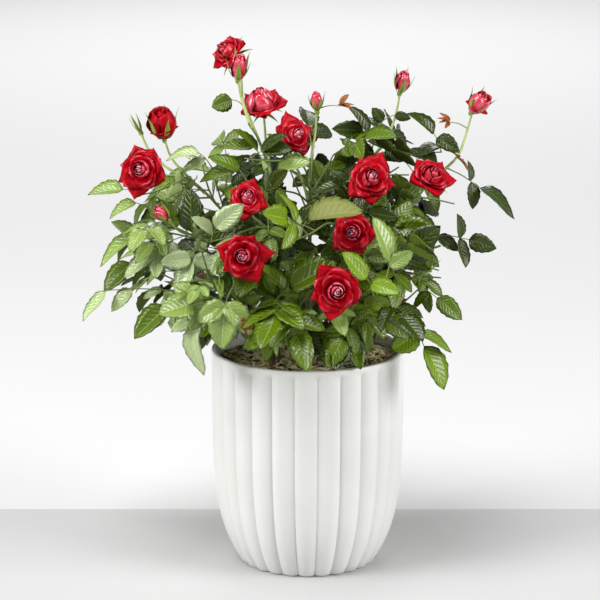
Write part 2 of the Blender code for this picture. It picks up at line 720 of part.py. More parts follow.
def add_object(name, mesh, collection, materials, sharp_from=30):
    mesh.shade_smooth()
    mesh.set_sharp_from_angle(angle=math.radians(sharp_from))
    for material in materials:
        mesh.materials.append(material)
    obj = bpy.data.objects.new(name, mesh)
    collection.objects.link(obj)
    return obj


def mesh_from(name, bm):
    bmesh.ops.recalc_face_normals(bm, faces=bm.faces)
    mesh = bpy.data.meshes.new(name)
    bm.to_mesh(mesh)
    bm.free()
    return mesh


def faces_among(items):
    return [item for item in items if isinstance(item, bmesh.types.BMFace)]


def stacked(name, sides, first_angle, rings):
    """A closed body, drawn up from a flat disc ring by ring: each is a height and a radius for an angle."""
    bm = bmesh.new()
    bmesh.ops.create_circle(bm, cap_ends=True, segments=sides, radius=1)
    bmesh.ops.rotate(bm, verts=bm.verts, matrix=Matrix.Rotation(first_angle, 3, "Z"))
    face = bm.faces[:][0]
    for i, (height, radius_at) in enumerate(rings):
        if i:
            old = face
            face = faces_among(bmesh.ops.extrude_face_region(bm, geom=[face])["geom"])[0]
            bm.faces.remove(old)
        for vert in face.verts:
            angle = math.atan2(vert.co.y, vert.co.x)
            radius = radius_at(angle)
            vert.co = (radius * math.cos(angle), radius * math.sin(angle), height)
        if i == 0:
            floor = bmesh.ops.duplicate(bm, geom=[face])["geom"]
            bmesh.ops.reverse_faces(bm, faces=faces_among(floor))
    bmesh.ops.remove_doubles(bm, verts=bm.verts, dist=1e-6)
    return mesh_from(name, bm)


def tube_mesh(name, line, radii, section=None, resolution=1):
    """A curve with filled caps along a line, as a mesh. The section is a bevel object, or None if round."""
    curve = bpy.data.curves.new(name, "CURVE")
    curve.dimensions = "3D"
    curve.use_fill_caps = True
    if section is None:
        curve.bevel_depth = 1
        curve.bevel_resolution = resolution
    else:
        curve.bevel_mode = "OBJECT"
        curve.bevel_object = section
    spline = curve.splines.new("POLY")
    spline.points.add(len(line) - 1)
    for point, place, radius in zip(spline.points, line, radii):
        point.co = (*place, 1)
        point.radius = radius
    guide = bpy.data.objects.new(name, curve)
    bpy.context.scene.collection.objects.link(guide)
    graph = bpy.context.evaluated_depsgraph_get()
    mesh = bpy.data.meshes.new_from_object(guide.evaluated_get(graph))
    bpy.data.objects.remove(guide)
    bpy.data.curves.remove(curve)
    bm = bmesh.new()
    bm.from_mesh(mesh)
    bpy.data.meshes.remove(mesh)
    bmesh.ops.remove_doubles(bm, verts=bm.verts, dist=1e-6)
    return mesh_from(name, bm)


def three_sided_section():
    curve = bpy.data.curves.new("three_sided_section", "CURVE")
    spline = curve.splines.new("POLY")
    spline.points.add(2)
    spline.use_cyclic_u = True
    for i, point in enumerate(spline.points):
        angle = math.tau * i / 3
        point.co = (math.cos(angle), math.sin(angle), 0, 1)
    section = bpy.data.objects.new("three_sided_section", curve)
    section.hide_render = True
    section.display_type = "WIRE"
    bpy.context.scene.collection.objects.link(section)
    return section


def keep_largest_body(bm):
    """Drops loose scraps, and the walls of any hollow that the union sealed."""
    left = set(bm.verts)
    bodies = []
    while left:
        body, front = set(), [left.pop()]
        while front:
            vert = front.pop()
            body.add(vert)
            near = {edge.other_vert(vert) for edge in vert.link_edges} & left
            left -= near
            front += near
        bodies.append(body)
    largest = max(bodies, key=len)
    scraps = [vert for body in bodies if body is not largest for vert in body]
    bmesh.ops.delete(bm, geom=scraps, context="VERTS")


def fused(name, meshes, materials):
    """One Boolean union of all the meshes, applied."""
    pool = bpy.data.collections.new(name + "_pieces")
    bpy.context.scene.collection.children.link(pool)
    pieces = []
    for i, mesh in enumerate(meshes):
        for material in materials:
            mesh.materials.append(material)
        pieces.append(bpy.data.objects.new(f"{name}_piece_{i}", mesh))
    base = pieces[0]
    bpy.context.scene.collection.objects.link(base)
    for piece in pieces[1:]:
        pool.objects.link(piece)
    union = base.modifiers.new("Fuse", "BOOLEAN")
    union.operation = "UNION"
    union.operand_type = "COLLECTION"
    union.collection = pool
    union.solver = "EXACT"
    graph = bpy.context.evaluated_depsgraph_get()
    mesh = bpy.data.meshes.new_from_object(base.evaluated_get(graph))
    mesh.materials.clear()
    for piece in pieces:
        bpy.data.objects.remove(piece)
    bpy.data.collections.remove(pool)
    bm = bmesh.new()
    bm.from_mesh(mesh)
    bpy.data.meshes.remove(mesh)
    keep_largest_body(bm)
    bmesh.ops.triangulate(bm, faces=bm.faces)
    return mesh_from(name, bm)


# the pot and its soil


def pot_radius(height):
    """The outer radius over the reeds' crests."""
    return RIM_RADIUS - (RIM_RADIUS - BASE_RADIUS) * (1 - height / POT_HEIGHT) ** POT_SWELL


def reeded(height):
    """The outer radius for an angle: convex reeds between sharp grooves, which fade out into the lip."""
    depth = REED_DEPTH * min(1, max(0, (POT_HEIGHT - height) / LIP - 0.5))

    def radius_at(angle):
        phase = ((angle - FIRST_GROOVE + math.pi / 2) * REEDS / math.tau) % 1
        arch = 1 - (2 * phase - 1) ** 2
        return pot_radius(height) - depth * (1 - arch**0.6)

    return radius_at


def inside_radius(height):
    near_rim = min(1, max(0, 1 - (POT_HEIGHT - height) / (20 * MM)))
    return pot_radius(height) - BODY_WALL + (BODY_WALL - RIM_WALL) * near_rim


def plain(radius):
    return lambda angle: radius


def build_pot(collection):
    glaze = make_material("white_glaze", (0.80, 0.80, 0.76), 0.28)
    outside = OUTSIDE_HEIGHTS + [POT_HEIGHT - 2 * LIP, POT_HEIGHT - LIP / 2]
    rings = [(height, reeded(height)) for height in outside]
    rings += [(POT_HEIGHT - RIM_EDGE, plain(RIM_RADIUS)), (POT_HEIGHT, plain(RIM_RADIUS - RIM_EDGE))]
    rings += [(POT_HEIGHT, plain(RIM_RADIUS - RIM_WALL))]
    rings += [(height, plain(inside_radius(height))) for height in reversed(INSIDE_HEIGHTS)]
    mesh = stacked("pot", REEDS * SIDES_PER_REED, FIRST_GROOVE - math.pi / 2, rings)
    add_object("pot", mesh, collection, [glaze])


def build_soil(collection):
    mulch = make_material("bark_mulch", (0.11, 0.075, 0.05), 0.95)
    heights = INSIDE_HEIGHTS + [SOIL_TOP]
    rings = [(max(height, FLOOR + CLEAR), plain(inside_radius(height) - SOIL_GAP)) for height in heights]
    add_object("soil", stacked("soil", SOIL_SIDES, 0, rings), collection, [mulch])


# the plant


def build_stems(bare, collection):
    bark = make_material("green_bark", (0.16, 0.22, 0.06), 0.55)
    for name, line in bare.items():
        full = length_of(line)
        flared = FLARE_HEIGHT / full
        steps = max(1, round((1 - flared) * full / STEM_RING_SPACING))
        # the foot starts straight up, so that its cut lies flat on the soil
        places = [line[0], line[0] + UP * STRAIGHT_FOOT]
        places += [along(line, flared + (1 - flared) * i / steps)[0] for i in range(steps + 1)]
        radii = []
        for place in places:
            risen = (place - line[0]).length
            flare = ROOT_FLARE * math.exp(-risen / (FLARE_HEIGHT / 3))
            radii.append(CANE_RADIUS * (1 + flare) + (FORK_RADIUS - CANE_RADIUS) * risen / full)
        add_object("stem_" + name, tube_mesh("stem_" + name, places, radii), collection, [bark])


def place_matrix(place, lead, face):
    """Axes along the lead, across it and out of its face, at a place."""
    across = face.cross(lead)
    return Matrix.Translation(place) @ Matrix((lead, across, face)).transposed().to_4x4()


def blade_mesh(name, blade):
    """A low pyramid on a kite, widest nearer its root, which starts inside the stalk that it grows from."""
    root, lead, face, length, width = blade
    bm = bmesh.new()
    bmesh.ops.create_cone(bm, cap_ends=True, segments=4, radius1=0.5, radius2=0, depth=1)
    bmesh.ops.scale(bm, vec=(length + ROOT_DEPTH, width, BLADE_THICKNESS), verts=bm.verts)
    bmesh.ops.translate(bm, vec=((length - ROOT_DEPTH) / 2, 0, BLADE_THICKNESS / 2), verts=bm.verts)
    for vert in bm.verts:
        if ROOT_DEPTH < vert.co.x < length - ROOT_DEPTH:
            vert.co.x = WIDEST * length
    bmesh.ops.transform(bm, matrix=place_matrix(root, lead, face), verts=bm.verts)
    for item in bm.faces:
        item.material_index = 1
    return mesh_from(name, bm)


def stalk_and_end_blade_mesh(name, stalk, blade):
    """A leaf's stalk and the blade at its end in one: a triangle drawn along the stalk and spread flat."""
    root, lead, face, length, width = blade
    stalk_way = (stalk[1] - stalk[0]).normalized()
    stalk_face = (face - stalk_way * face.dot(stalk_way)).normalized()
    sections = [
        (stalk[0], stalk_way, stalk_face, STALK_RADIUS * TWIG_ROOT, STALK_RADIUS * TWIG_ROOT),
        (stalk[1], stalk_way, stalk_face, STALK_RADIUS, STALK_RADIUS),
        (root, lead, face, STALK_RADIUS, STALK_RADIUS),
        (root + lead * length * WIDEST, lead, face, width / 2, BLADE_THICKNESS),
        (root + lead * length, lead, face, 0, 0),
    ]
    bm = bmesh.new()
    bmesh.ops.create_circle(bm, cap_ends=True, segments=3, radius=1)
    foot = bm.faces[:][0]
    corners = list(foot.verts)
    for i, (place, way, up, half_width, rise) in enumerate(sections):
        if i:
            edges = [edge for edge in bm.edges if set(edge.verts) <= set(corners)]
            made = bmesh.ops.extrude_edge_only(bm, edges=edges)["geom"]
            fresh = [item for item in made if isinstance(item, bmesh.types.BMVert)]
            corners = [min(fresh, key=lambda vert: (vert.co - corner.co).length) for corner in corners]
        for corner, (right, high) in zip(corners, ((-1, 0), (1, 0), (0, 1))):
            corner.co = place + up.cross(way) * half_width * right + up * rise * (high - 0.3 * (i < 3))
    bmesh.ops.remove_doubles(bm, verts=bm.verts, dist=1e-6)
    for item in bm.faces:
        item.material_index = 1 if (item.calc_center_median() - root).dot(lead) > 0 else 0
    return mesh_from(name, bm)


def flower_mesh(name, flower):
    """A bloom is a flattened ball with five points round it, and a bud is a slim one."""
    _, place, width, openness, azimuth, height = flower
    face = facing(azimuth, height)
    side = face.cross(UP).normalized()
    bm = bmesh.new()
    open_wide = openness > 0.5
    sides = 10 if open_wide else 6
    bmesh.ops.create_uvsphere(bm, u_segments=sides, v_segments=3, radius=0.5)
    for vert in bm.verts:
        corner = round(math.atan2(vert.co.y, vert.co.x) * sides / math.tau)
        if open_wide and corner % 2:
            vert.co.xy *= 0.80
        if open_wide and vert.co.z > 0:
            vert.co.z *= 0.75
        if not open_wide and vert.co.z > 0:
            vert.co.xy *= 0.75
    girth = width * MM * (1 if open_wide else 0.62 + 0.4 * openness)
    depth = width * MM * (0.62 if open_wide else 1.05)
    bmesh.ops.scale(bm, vec=(girth, girth, depth), verts=bm.verts)
    bmesh.ops.transform(bm, matrix=place_matrix(Vector(place) * MM, side, face), verts=bm.verts)
    for item in bm.faces:
        item.material_index = 2 if openness > 0.05 else 1
    return mesh_from(name, bm)


def build_masses(twigs, leaves, collection):
    materials = [
        make_material("green_twig", (0.20, 0.30, 0.07), 0.5),
        make_material("rose_leaf", (0.07, 0.17, 0.04), 0.42),
        make_material("red_petal", (0.52, 0.01, 0.035), 0.5),
    ]
    section = three_sided_section()
    for name in CANES:
        meshes = []
        for line, radius, _, _ in twigs[name]:
            radii = [radius * (1 - TWIG_TAPER * i / (len(line) - 1)) for i in range(len(line))]
            if line is not twigs[name][0][0]:
                radii[0] = radius * TWIG_ROOT
            meshes.append(tube_mesh("twig", line, radii, section))
        for flower in FLOWERS.values():
            if flower[0] == name:
                meshes.append(flower_mesh("flower", flower))
        for stalk, blades in leaves[name]:
            meshes.append(stalk_and_end_blade_mesh("stalk", stalk, blades[-1]))
            # of five blades, the two small ones nearest the twig are left out here
            meshes += [blade_mesh("blade", blade) for blade in blades[-3:-1]]
        mass = fused("foliage_" + name, meshes, materials)
        add_object("foliage_" + name, mass, collection, materials, sharp_from=20)


def main():
    clear_scene()
    collection = bpy.data.collections.new("potted_rose")
    bpy.context.scene.collection.children.link(collection)
    build_pot(collection)
    build_soil(collection)
    bare, leafy = grow_canes()
    twigs = grow_twigs(bare, leafy)
    leaves = grow_leaves(bare, twigs)
    build_stems(bare, collection)
    build_masses(twigs, leaves, collection)


main()
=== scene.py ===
"""A small rose bush in a reeded white pot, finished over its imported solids.

Units are metres, Z is up, the front of the plant looks along -Y, and the pot stands on Z = 0.
"""

import json
import math
import random

import bmesh
import bpy
import numpy as np
from mathutils import Matrix, Vector, noise
from mathutils.bvhtree import BVHTree
from mathutils.kdtree import KDTree

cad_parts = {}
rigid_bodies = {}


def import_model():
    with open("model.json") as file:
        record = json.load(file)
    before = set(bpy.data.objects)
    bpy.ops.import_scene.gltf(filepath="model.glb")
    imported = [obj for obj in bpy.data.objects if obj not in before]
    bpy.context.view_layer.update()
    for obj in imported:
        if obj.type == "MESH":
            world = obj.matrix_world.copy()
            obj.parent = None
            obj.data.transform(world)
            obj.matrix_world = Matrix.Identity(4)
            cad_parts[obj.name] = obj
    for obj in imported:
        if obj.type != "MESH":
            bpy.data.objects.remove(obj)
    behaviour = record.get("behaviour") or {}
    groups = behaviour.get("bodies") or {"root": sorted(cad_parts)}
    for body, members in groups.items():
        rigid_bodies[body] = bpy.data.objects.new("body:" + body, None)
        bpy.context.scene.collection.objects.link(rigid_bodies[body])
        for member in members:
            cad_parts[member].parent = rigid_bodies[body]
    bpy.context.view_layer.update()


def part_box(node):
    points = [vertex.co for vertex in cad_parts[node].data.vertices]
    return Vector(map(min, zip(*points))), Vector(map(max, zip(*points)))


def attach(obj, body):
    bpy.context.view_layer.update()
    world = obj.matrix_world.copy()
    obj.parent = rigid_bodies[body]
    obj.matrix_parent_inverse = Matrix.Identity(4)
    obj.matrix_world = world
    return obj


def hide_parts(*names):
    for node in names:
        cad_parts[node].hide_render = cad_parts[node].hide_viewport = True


for thing in list(bpy.data.objects):
    bpy.data.objects.remove(thing)
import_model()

# Camera
# A long lens looks at the plant from straight in front and a little above the pot's rim.

CAMERA_LENS = 144
CAMERA_SENSOR = 36
CAMERA_DISTANCE = 1.935
CAMERA_HEIGHT = math.radians(13.4)
LOOKED_AT = Vector((-0.0063, 0, 0.2162))


def in_scene(name, data):
    """A camera, lamp, mesh or curve as an object of the scene."""
    item = bpy.data.objects.new(name, data)
    bpy.context.scene.collection.objects.link(item)
    return item


camera_data = bpy.data.cameras.new("camera")
camera_data.lens = CAMERA_LENS
camera_data.sensor_width = CAMERA_SENSOR
camera = in_scene("camera", camera_data)
back = Vector((0, -math.cos(CAMERA_HEIGHT), math.sin(CAMERA_HEIGHT)))
camera.location = LOOKED_AT + back * CAMERA_DISTANCE
camera.rotation_euler = (math.pi / 2 - CAMERA_HEIGHT, 0, 0)
bpy.context.scene.camera = camera

# Studio
# A pale table with white paper behind it, in a white room. Soft lamps stand at the left, at the right and
# above the front, and one more lights the paper.

TABLE_COLOUR = (0.50, 0.50, 0.50)
PAPER_COLOUR = (0.64, 0.64, 0.64)
# where the table starts in front, where it meets the paper, where the paper ends, and half their width
TABLE_FRONT = -4
TABLE_BACK = 0.118
PAPER_BACK = 5
FLOOR_HALF_WIDTH = 4
ROOM_LIGHT = 0.27
# lamps: place, what each is aimed at, size and watts
LAMPS = {
    "key_lamp": ((-2.6, -1.1, 1.4), (0, 0, 0.25), 1.4, 76),
    "side_lamp": ((2.6, -1.1, 1.3), (0, 0, 0.25), 1.6, 76),
    "top_lamp": ((-0.5, -0.9, 2.9), (0, 0, 0.25), 1.4, 64),
    "paper_lamp": ((0, 3.5, 2.2), (0, 3.5, 0), 2.2, 65),
}


def plain_material(name, colour, roughness):
    material = bpy.data.materials.new(name)
    material.use_nodes = True
    shader = material.node_tree.nodes["Principled BSDF"]
    shader.inputs["Base Color"].default_value = (*colour, 1)
    shader.inputs["Roughness"].default_value = roughness
    return material, shader


def piece_of(name, mesh, materials, sharp_from):
    """A mesh as a piece, shaded smooth except at edges sharper than an angle in degrees."""
    mesh.shade_smooth()
    mesh.set_sharp_from_angle(angle=math.radians(sharp_from))
    for material in materials:
        mesh.materials.append(material)
    return in_scene(name, mesh)


def finished_piece(name, bm, materials, sharp_from=40):
    mesh = bpy.data.meshes.new(name)
    bm.to_mesh(mesh)
    bm.free()
    return piece_of(name, mesh, materials, sharp_from)


def floor_sheet(name, colour, front, rear):
    bm = bmesh.new()
    bmesh.ops.create_grid(bm, x_segments=1, y_segments=1, size=1)
    for corner in bm.verts:
        corner.co.x *= FLOOR_HALF_WIDTH
        corner.co.y = rear if corner.co.y > 0 else front
    material, _ = plain_material(name, colour, 0.9)
    finished_piece(name, bm, [material])


floor_sheet("table", TABLE_COLOUR, TABLE_FRONT, TABLE_BACK)
floor_sheet("paper", PAPER_COLOUR, TABLE_BACK, PAPER_BACK)

for name, (place, aim, size, watts) in LAMPS.items():
    lamp_data = bpy.data.lights.new(name, "AREA")
    lamp_data.shape = "SQUARE"
    lamp_data.size = size
    lamp_data.energy = watts
    lamp = in_scene(name, lamp_data)
    lamp.location = place
    lamp.rotation_euler = (Vector(aim) - Vector(place)).to_track_quat("-Z", "Y").to_euler()

room = bpy.data.worlds.new("white_room")
room.use_nodes = True
room.node_tree.nodes["Background"].inputs["Color"].default_value = (1, 1, 1, 1)
room.node_tree.nodes["Background"].inputs["Strength"].default_value = ROOM_LIGHT
bpy.context.scene.world = room
bpy.context.scene.view_settings.view_transform = "Standard"

# Pot
# A round cover pot of slip-cast earthenware with a satin white glaze. Its wall is cast in convex reeds
# between sharp grooves, which run down to a scalloped foot and out into a thin smooth lip.

MM = 0.001
POT_HEIGHT = 177 * MM
RIM_RADIUS = 78 * MM
BASE_RADIUS = 55.4 * MM
# how quickly the wall swells above the base
POT_SWELL = 5.2
RIM_WALL = 4 * MM
BODY_WALL = 5 * MM
FLOOR = 6 * MM
REEDS = 26
SIDES_PER_REED = 16
REED_DEPTH = 2.6 * MM
# how round a reed is between its grooves: 1 is a plain arch, and less is fuller
REED_FULLNESS = 0.9
LIP = 5 * MM
# the wall thins over this much below the rim
WALL_TAPER = 20 * MM
# turns a groove to where it lies beside the middle of the front
FIRST_GROOVE = math.radians(-8.1)
FOOT_ROUNDING = 1.8 * MM
RIM_ROUNDING = 1.3 * MM
ROUNDING_STEPS = 4
# in mm: heights of the rings up the wall, drops below the rim of those under the lip, heights inside
WALL_RINGS = (4, 7, 11, 15, 20, 25, 30, 36, 42, 48, 55, 62, 70, 80, 92, 106, 122, 138, 152, 162, 167)
LIP_RINGS = (8.2, 7.2, 6.2, 5.2, 4.4, 3.6, 2.8, 2)
INSIDE_RINGS = (170, 160, 150, 120, 80, 50, 30, 16, 10, 6)
GLAZE_LIGHT = (0.71, 0.71, 0.69)
GLAZE_DEEP = (0.67, 0.67, 0.645)


def pot_radius(height):
    """The outer radius over the reeds' crests."""
    return RIM_RADIUS - (RIM_RADIUS - BASE_RADIUS) * (1 - height / POT_HEIGHT) ** POT_SWELL


def reeded(height, inset=0.0):
    """The outer radius for an angle: convex reeds between sharp grooves, which fade out into the lip."""
    share = min(1, max(0, (POT_HEIGHT - height) / LIP - 0.5))
    depth = REED_DEPTH * share * share * (3 - 2 * share)

    def radius_at(angle):
        phase = ((angle - FIRST_GROOVE + math.pi / 2) * REEDS / math.tau) % 1
        arch = 1 - (2 * phase - 1) ** 2
        return pot_radius(height) - depth * (1 - arch**REED_FULLNESS) - inset

    return radius_at


def inside_radius(height):
    near_rim = min(1, max(0, 1 - (POT_HEIGHT - height) / WALL_TAPER))
    return pot_radius(height) - BODY_WALL + (BODY_WALL - RIM_WALL) * near_rim


def plain(radius):
    return lambda angle: radius


def faces_among(items):
    return [item for item in items if isinstance(item, bmesh.types.BMFace)]


def stacked(sides, first_angle, rings):
    """A closed body: a flat disc drawn up from ring to ring, each a height and a radius for an angle."""
    bm = bmesh.new()
    bmesh.ops.create_circle(bm, cap_ends=True, segments=sides, radius=1)
    bmesh.ops.rotate(bm, verts=bm.verts, matrix=Matrix.Rotation(first_angle, 3, "Z"))
    face = bm.faces[:][0]
    for i, (height, radius_at) in enumerate(rings):
        if i:
            old = face
            face = faces_among(bmesh.ops.extrude_face_region(bm, geom=[face])["geom"])[0]
            bm.faces.remove(old)
        for vert in face.verts:
            angle = math.atan2(vert.co.y, vert.co.x)
            radius = radius_at(angle)
            vert.co = (radius * math.cos(angle), radius * math.sin(angle), height)
        if i == 0:
            floor = bmesh.ops.duplicate(bm, geom=[face])["geom"]
            bmesh.ops.reverse_faces(bm, faces=faces_among(floor))
    bmesh.ops.remove_doubles(bm, verts=bm.verts, dist=1e-6)
    bmesh.ops.recalc_face_normals(bm, faces=bm.faces)
    return bm


def new_node(material, kind, **settings):
    node = material.node_tree.nodes.new(kind)
    for name, value in settings.items():
        setattr(node, name, value)
    return node


def link(material, start, end):
    material.node_tree.links.new(start, end)


def speckle(material, size, detail, roughness=0.5, distortion=0.0):
    """A noise on Object coordinates whose lumps are about this size, from 0 to 1."""
    texture = new_node(material, "ShaderNodeTexNoise")
    place = new_node(material, "ShaderNodeTexCoord")
    link(material, place.outputs["Object"], texture.inputs["Vector"])
    texture.inputs["Scale"].default_value = 1 / size
    texture.inputs["Detail"].default_value = detail
    texture.inputs["Roughness"].default_value = roughness
    texture.inputs["Distortion"].default_value = distortion
    return texture.outputs["Fac"]


def colour_by(material, shader, value, stops):
    """Colours the skin by a value. The stops are (place, colour)."""
    blend = new_node(material, "ShaderNodeValToRGB")
    while len(blend.color_ramp.elements) < len(stops):
        blend.color_ramp.elements.new(0.5)
    for element, (place, colour) in zip(blend.color_ramp.elements, stops):
        element.position = place
        element.color = (*colour, 1)
    link(material, value, blend.inputs["Fac"])
    link(material, blend.outputs["Color"], shader.inputs["Base Color"])


def between(material, value, low, high):
    """A value from 0 to 1 stretched to run from low to high."""
    stretch = new_node(material, "ShaderNodeMapRange")
    stretch.inputs["To Min"].default_value = low
    stretch.inputs["To Max"].default_value = high
    link(material, value, stretch.inputs["Value"])
    return stretch.outputs["Result"]


def raise_by(material, shader, height, distance, strength=1.0):
    bump = new_node(material, "ShaderNodeBump")
    bump.inputs["Strength"].default_value = strength
    bump.inputs["Distance"].default_value = distance
    link(material, height, bump.inputs["Height"])
    link(material, bump.outputs["Normal"], shader.inputs["Normal"])


def quarter_round(rounding):
    """Points of a quarter circle from its flat end, as (distance back from the side, height)."""
    angles = [i * math.pi / 2 / ROUNDING_STEPS for i in range(ROUNDING_STEPS + 1)]
    return [(rounding * (1 - math.sin(angle)), rounding * (1 - math.cos(angle))) for angle in angles]


glaze, glaze_shader = plain_material("white_satin_glaze", GLAZE_LIGHT, 0.38)
colour_by(glaze, glaze_shader, speckle(glaze, 60 * MM, 3), [(0.35, GLAZE_DEEP), (0.65, GLAZE_LIGHT)])
link(glaze, between(glaze, speckle(glaze, 14 * MM, 4), 0.30, 0.46), glaze_shader.inputs["Roughness"])
raise_by(glaze, glaze_shader, speckle(glaze, 3.5 * MM, 3), 0.05 * MM, 0.5)

rings = [(height, reeded(height, inset)) for inset, height in quarter_round(FOOT_ROUNDING)]
rings += [(height * MM, reeded(height * MM)) for height in WALL_RINGS]
rings += [(POT_HEIGHT - drop * MM, reeded(POT_HEIGHT - drop * MM)) for drop in LIP_RINGS]
rounded = [(POT_HEIGHT - drop, inset) for inset, drop in quarter_round(RIM_ROUNDING)]
rings += [(height, plain(RIM_RADIUS - inset)) for height, inset in reversed(rounded)]
rings += [(height, plain(RIM_RADIUS - RIM_WALL + inset)) for height, inset in rounded]
rings += [(height * MM, plain(inside_radius(height * MM))) for height in INSIDE_RINGS]
pot_mesh = stacked(REEDS * SIDES_PER_REED, FIRST_GROOVE - math.pi / 2, rings)
pot = finished_piece("glazed_pot", pot_mesh, [glaze], sharp_from=32)
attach(pot, "root")
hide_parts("pot")

# Soil and mulch
# Compost fills the pot to a little below its rim. Shredded bark lies over it: straw-coloured and brown
# chips and fibres, loosely strewn, with the compost dark between them.

SOIL_TOP = 166 * MM
SOIL_SIDES = 120
SOIL_GAP = 0.4 * MM
CLEAR = 0.3 * MM
# heights in mm of the rings up the filling's side, and how many its top has
SOIL_RINGS = (0, 12, 30, 60, 100, 140, 160, 165)
TOP_RINGS = 26
# lumps in its top: how many to the metre, and their height in mm
LUMPS = ((90, 1.6), (320, 0.9))
# how many chips and fibres, and in mm their height over the soil, half their length and a fibre's radius
CHIPS = 900
CHIP_SHAPES = 8
CHIP_RISE = (0.2, 3.4)
CHIP_HALF = (1.6, 5.0)
FIBRES = 420
FIBRE_RISE = (1.5, 5.0)
FIBRE_HALF = (4, 11)
FIBRE_RADIUS = (0.18, 0.42)
BARK_COLOURS = {
    "pale_bark": (0.74, 0.60, 0.36),
    "brown_bark": (0.40, 0.30, 0.13),
    "dark_bark": (0.085, 0.062, 0.028),
}
# how many chips in 16 are meant to have each of these colours
BARK_SHARES = (8, 6, 2)


def arrays_of(bm):
    """A small mesh as arrays: vertices, corners of its four-sided faces, their finishes and their UVs."""
    bm.verts.index_update()
    uv = bm.loops.layers.uv.active
    return {
        "verts": np.array([tuple(vert.co) for vert in bm.verts]),
        "faces": np.array([[vert.index for vert in face.verts] for face in bm.faces]),
        "finish": np.array([face.material_index for face in bm.faces]),
        "uv": np.array([[tuple(loop[uv].uv) for loop in face.loops] for face in bm.faces]) if uv else None,
    }


def joined_piece(name, parts, materials, sharp_from=180):
    """One mesh from many: each part is a set of arrays and its own placed vertices."""
    corners = parts[0][0]["faces"].shape[1]
    mesh = bpy.data.meshes.new(name)
    counts = [len(verts) for _, verts in parts]
    starts = np.concatenate([[0], np.cumsum(counts)[:-1]])
    faces = np.concatenate([shape["faces"] + start for (shape, _), start in zip(parts, starts)])
    verts = np.concatenate([verts for _, verts in parts])
    mesh.vertices.add(len(verts))
    mesh.vertices.foreach_set("co", verts.ravel())
    mesh.loops.add(faces.size)
    mesh.loops.foreach_set("vertex_index", faces.ravel())
    mesh.polygons.add(len(faces))
    mesh.polygons.foreach_set("loop_start", np.arange(0, faces.size, corners))
    mesh.polygons.foreach_set("material_index", np.concatenate([shape["finish"] for shape, _ in parts]))
    if parts[0][0]["uv"] is not None:
        layer = mesh.uv_layers.new(name="UVMap")
        layer.data.foreach_set("uv", np.concatenate([shape["uv"].ravel() for shape, _ in parts]))
    mesh.update(calc_edges=True)
    mesh.validate()
    return piece_of(name, mesh, materials, sharp_from)


def placed(shape, matrix):
    """A part for joined_piece: the shape with its vertices moved by a matrix."""
    turn = np.array(matrix.to_3x3())
    return shape, shape["verts"] @ turn.T + np.array(matrix.translation)


def tube_bmesh(lines, sides_level):
    """Closed tubes along lines, each a list of places with their radii."""
    curve = bpy.data.curves.new("tubes", "CURVE")
    curve.dimensions = "3D"
    curve.use_fill_caps = True
    curve.bevel_depth = 1
    curve.bevel_resolution = sides_level
    for places, radii in lines:
        spline = curve.splines.new("POLY")
        spline.points.add(len(places) - 1)
        spline.points.foreach_set("co", [value for place in places for value in (*place, 1)])
        spline.points.foreach_set("radius", radii)
    guide = in_scene("tubes", curve)
    graph = bpy.context.evaluated_depsgraph_get()
    mesh = bpy.data.meshes.new_from_object(guide.evaluated_get(graph))
    bpy.data.objects.remove(guide)
    bpy.data.curves.remove(curve)
    bm = bmesh.new()
    bm.from_mesh(mesh)
    bpy.data.meshes.remove(mesh)
    bmesh.ops.remove_doubles(bm, verts=bm.verts, dist=1e-7)
    bmesh.ops.recalc_face_normals(bm, faces=bm.faces)
    return bm


def bark_material(name, colour):
    material, shader = plain_material(name, colour, 0.9)
    grain = speckle(material, 2.2 * MM, 6, 0.7, 0.6)
    shades = [(0.3, [c * 0.45 for c in colour]), (0.62, [min(1, c * 1.5) for c in colour])]
    colour_by(material, shader, grain, shades)
    raise_by(material, shader, grain, 0.4 * MM)
    return material


soil_rng = random.Random("soil")
barks = [bark_material(name, colour) for name, colour in BARK_COLOURS.items()]

soil_rings = [
    (max(height * MM, FLOOR + CLEAR), plain(inside_radius(height * MM) - SOIL_GAP))
    for height in SOIL_RINGS
]
soil_reach = inside_radius(SOIL_TOP) - SOIL_GAP
soil_rings += [(SOIL_TOP, plain(soil_reach * (1 - i / TOP_RINGS))) for i in range(TOP_RINGS)]
soil_mesh = stacked(SOIL_SIDES, 0, soil_rings)
for vert in soil_mesh.verts:
    if vert.co.z > SOIL_TOP - 0.5 * MM:
        vert.co.z += sum(noise.noise(vert.co * often) * height for often, height in LUMPS) * MM
soil = finished_piece("compost", soil_mesh, [barks[2]], sharp_from=60)
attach(soil, "root")
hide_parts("soil")

chip_shapes = []
for _ in range(CHIP_SHAPES):
    bm = bmesh.new()
    bmesh.ops.create_icosphere(bm, subdivisions=1, radius=1)
    bmesh.ops.scale(bm, vec=(1, soil_rng.uniform(0.3, 0.6), soil_rng.uniform(0.12, 0.3)), verts=bm.verts)
    for vert in bm.verts:
        vert.co *= soil_rng.uniform(0.7, 1.25)
    chip_shapes.append(arrays_of(bm))
    bm.free()


def strewn(rng, rise):
    """A place on the soil, and turns that lay a thing nearly flat there."""
    reach = (soil_reach - 4 * MM) * math.sqrt(rng.random())
    azimuth = rng.uniform(0, math.tau)
    place = Vector((reach * math.cos(azimuth), reach * math.sin(azimuth), SOIL_TOP))
    place.z += rng.uniform(*rise) * MM
    turn = Matrix.Rotation(rng.uniform(0, math.tau), 3, "Z")
    tilt = Matrix.Rotation(rng.gauss(0, 0.35), 3, "X") @ Matrix.Rotation(rng.gauss(0, 0.25), 3, "Y")
    return place, turn @ tilt


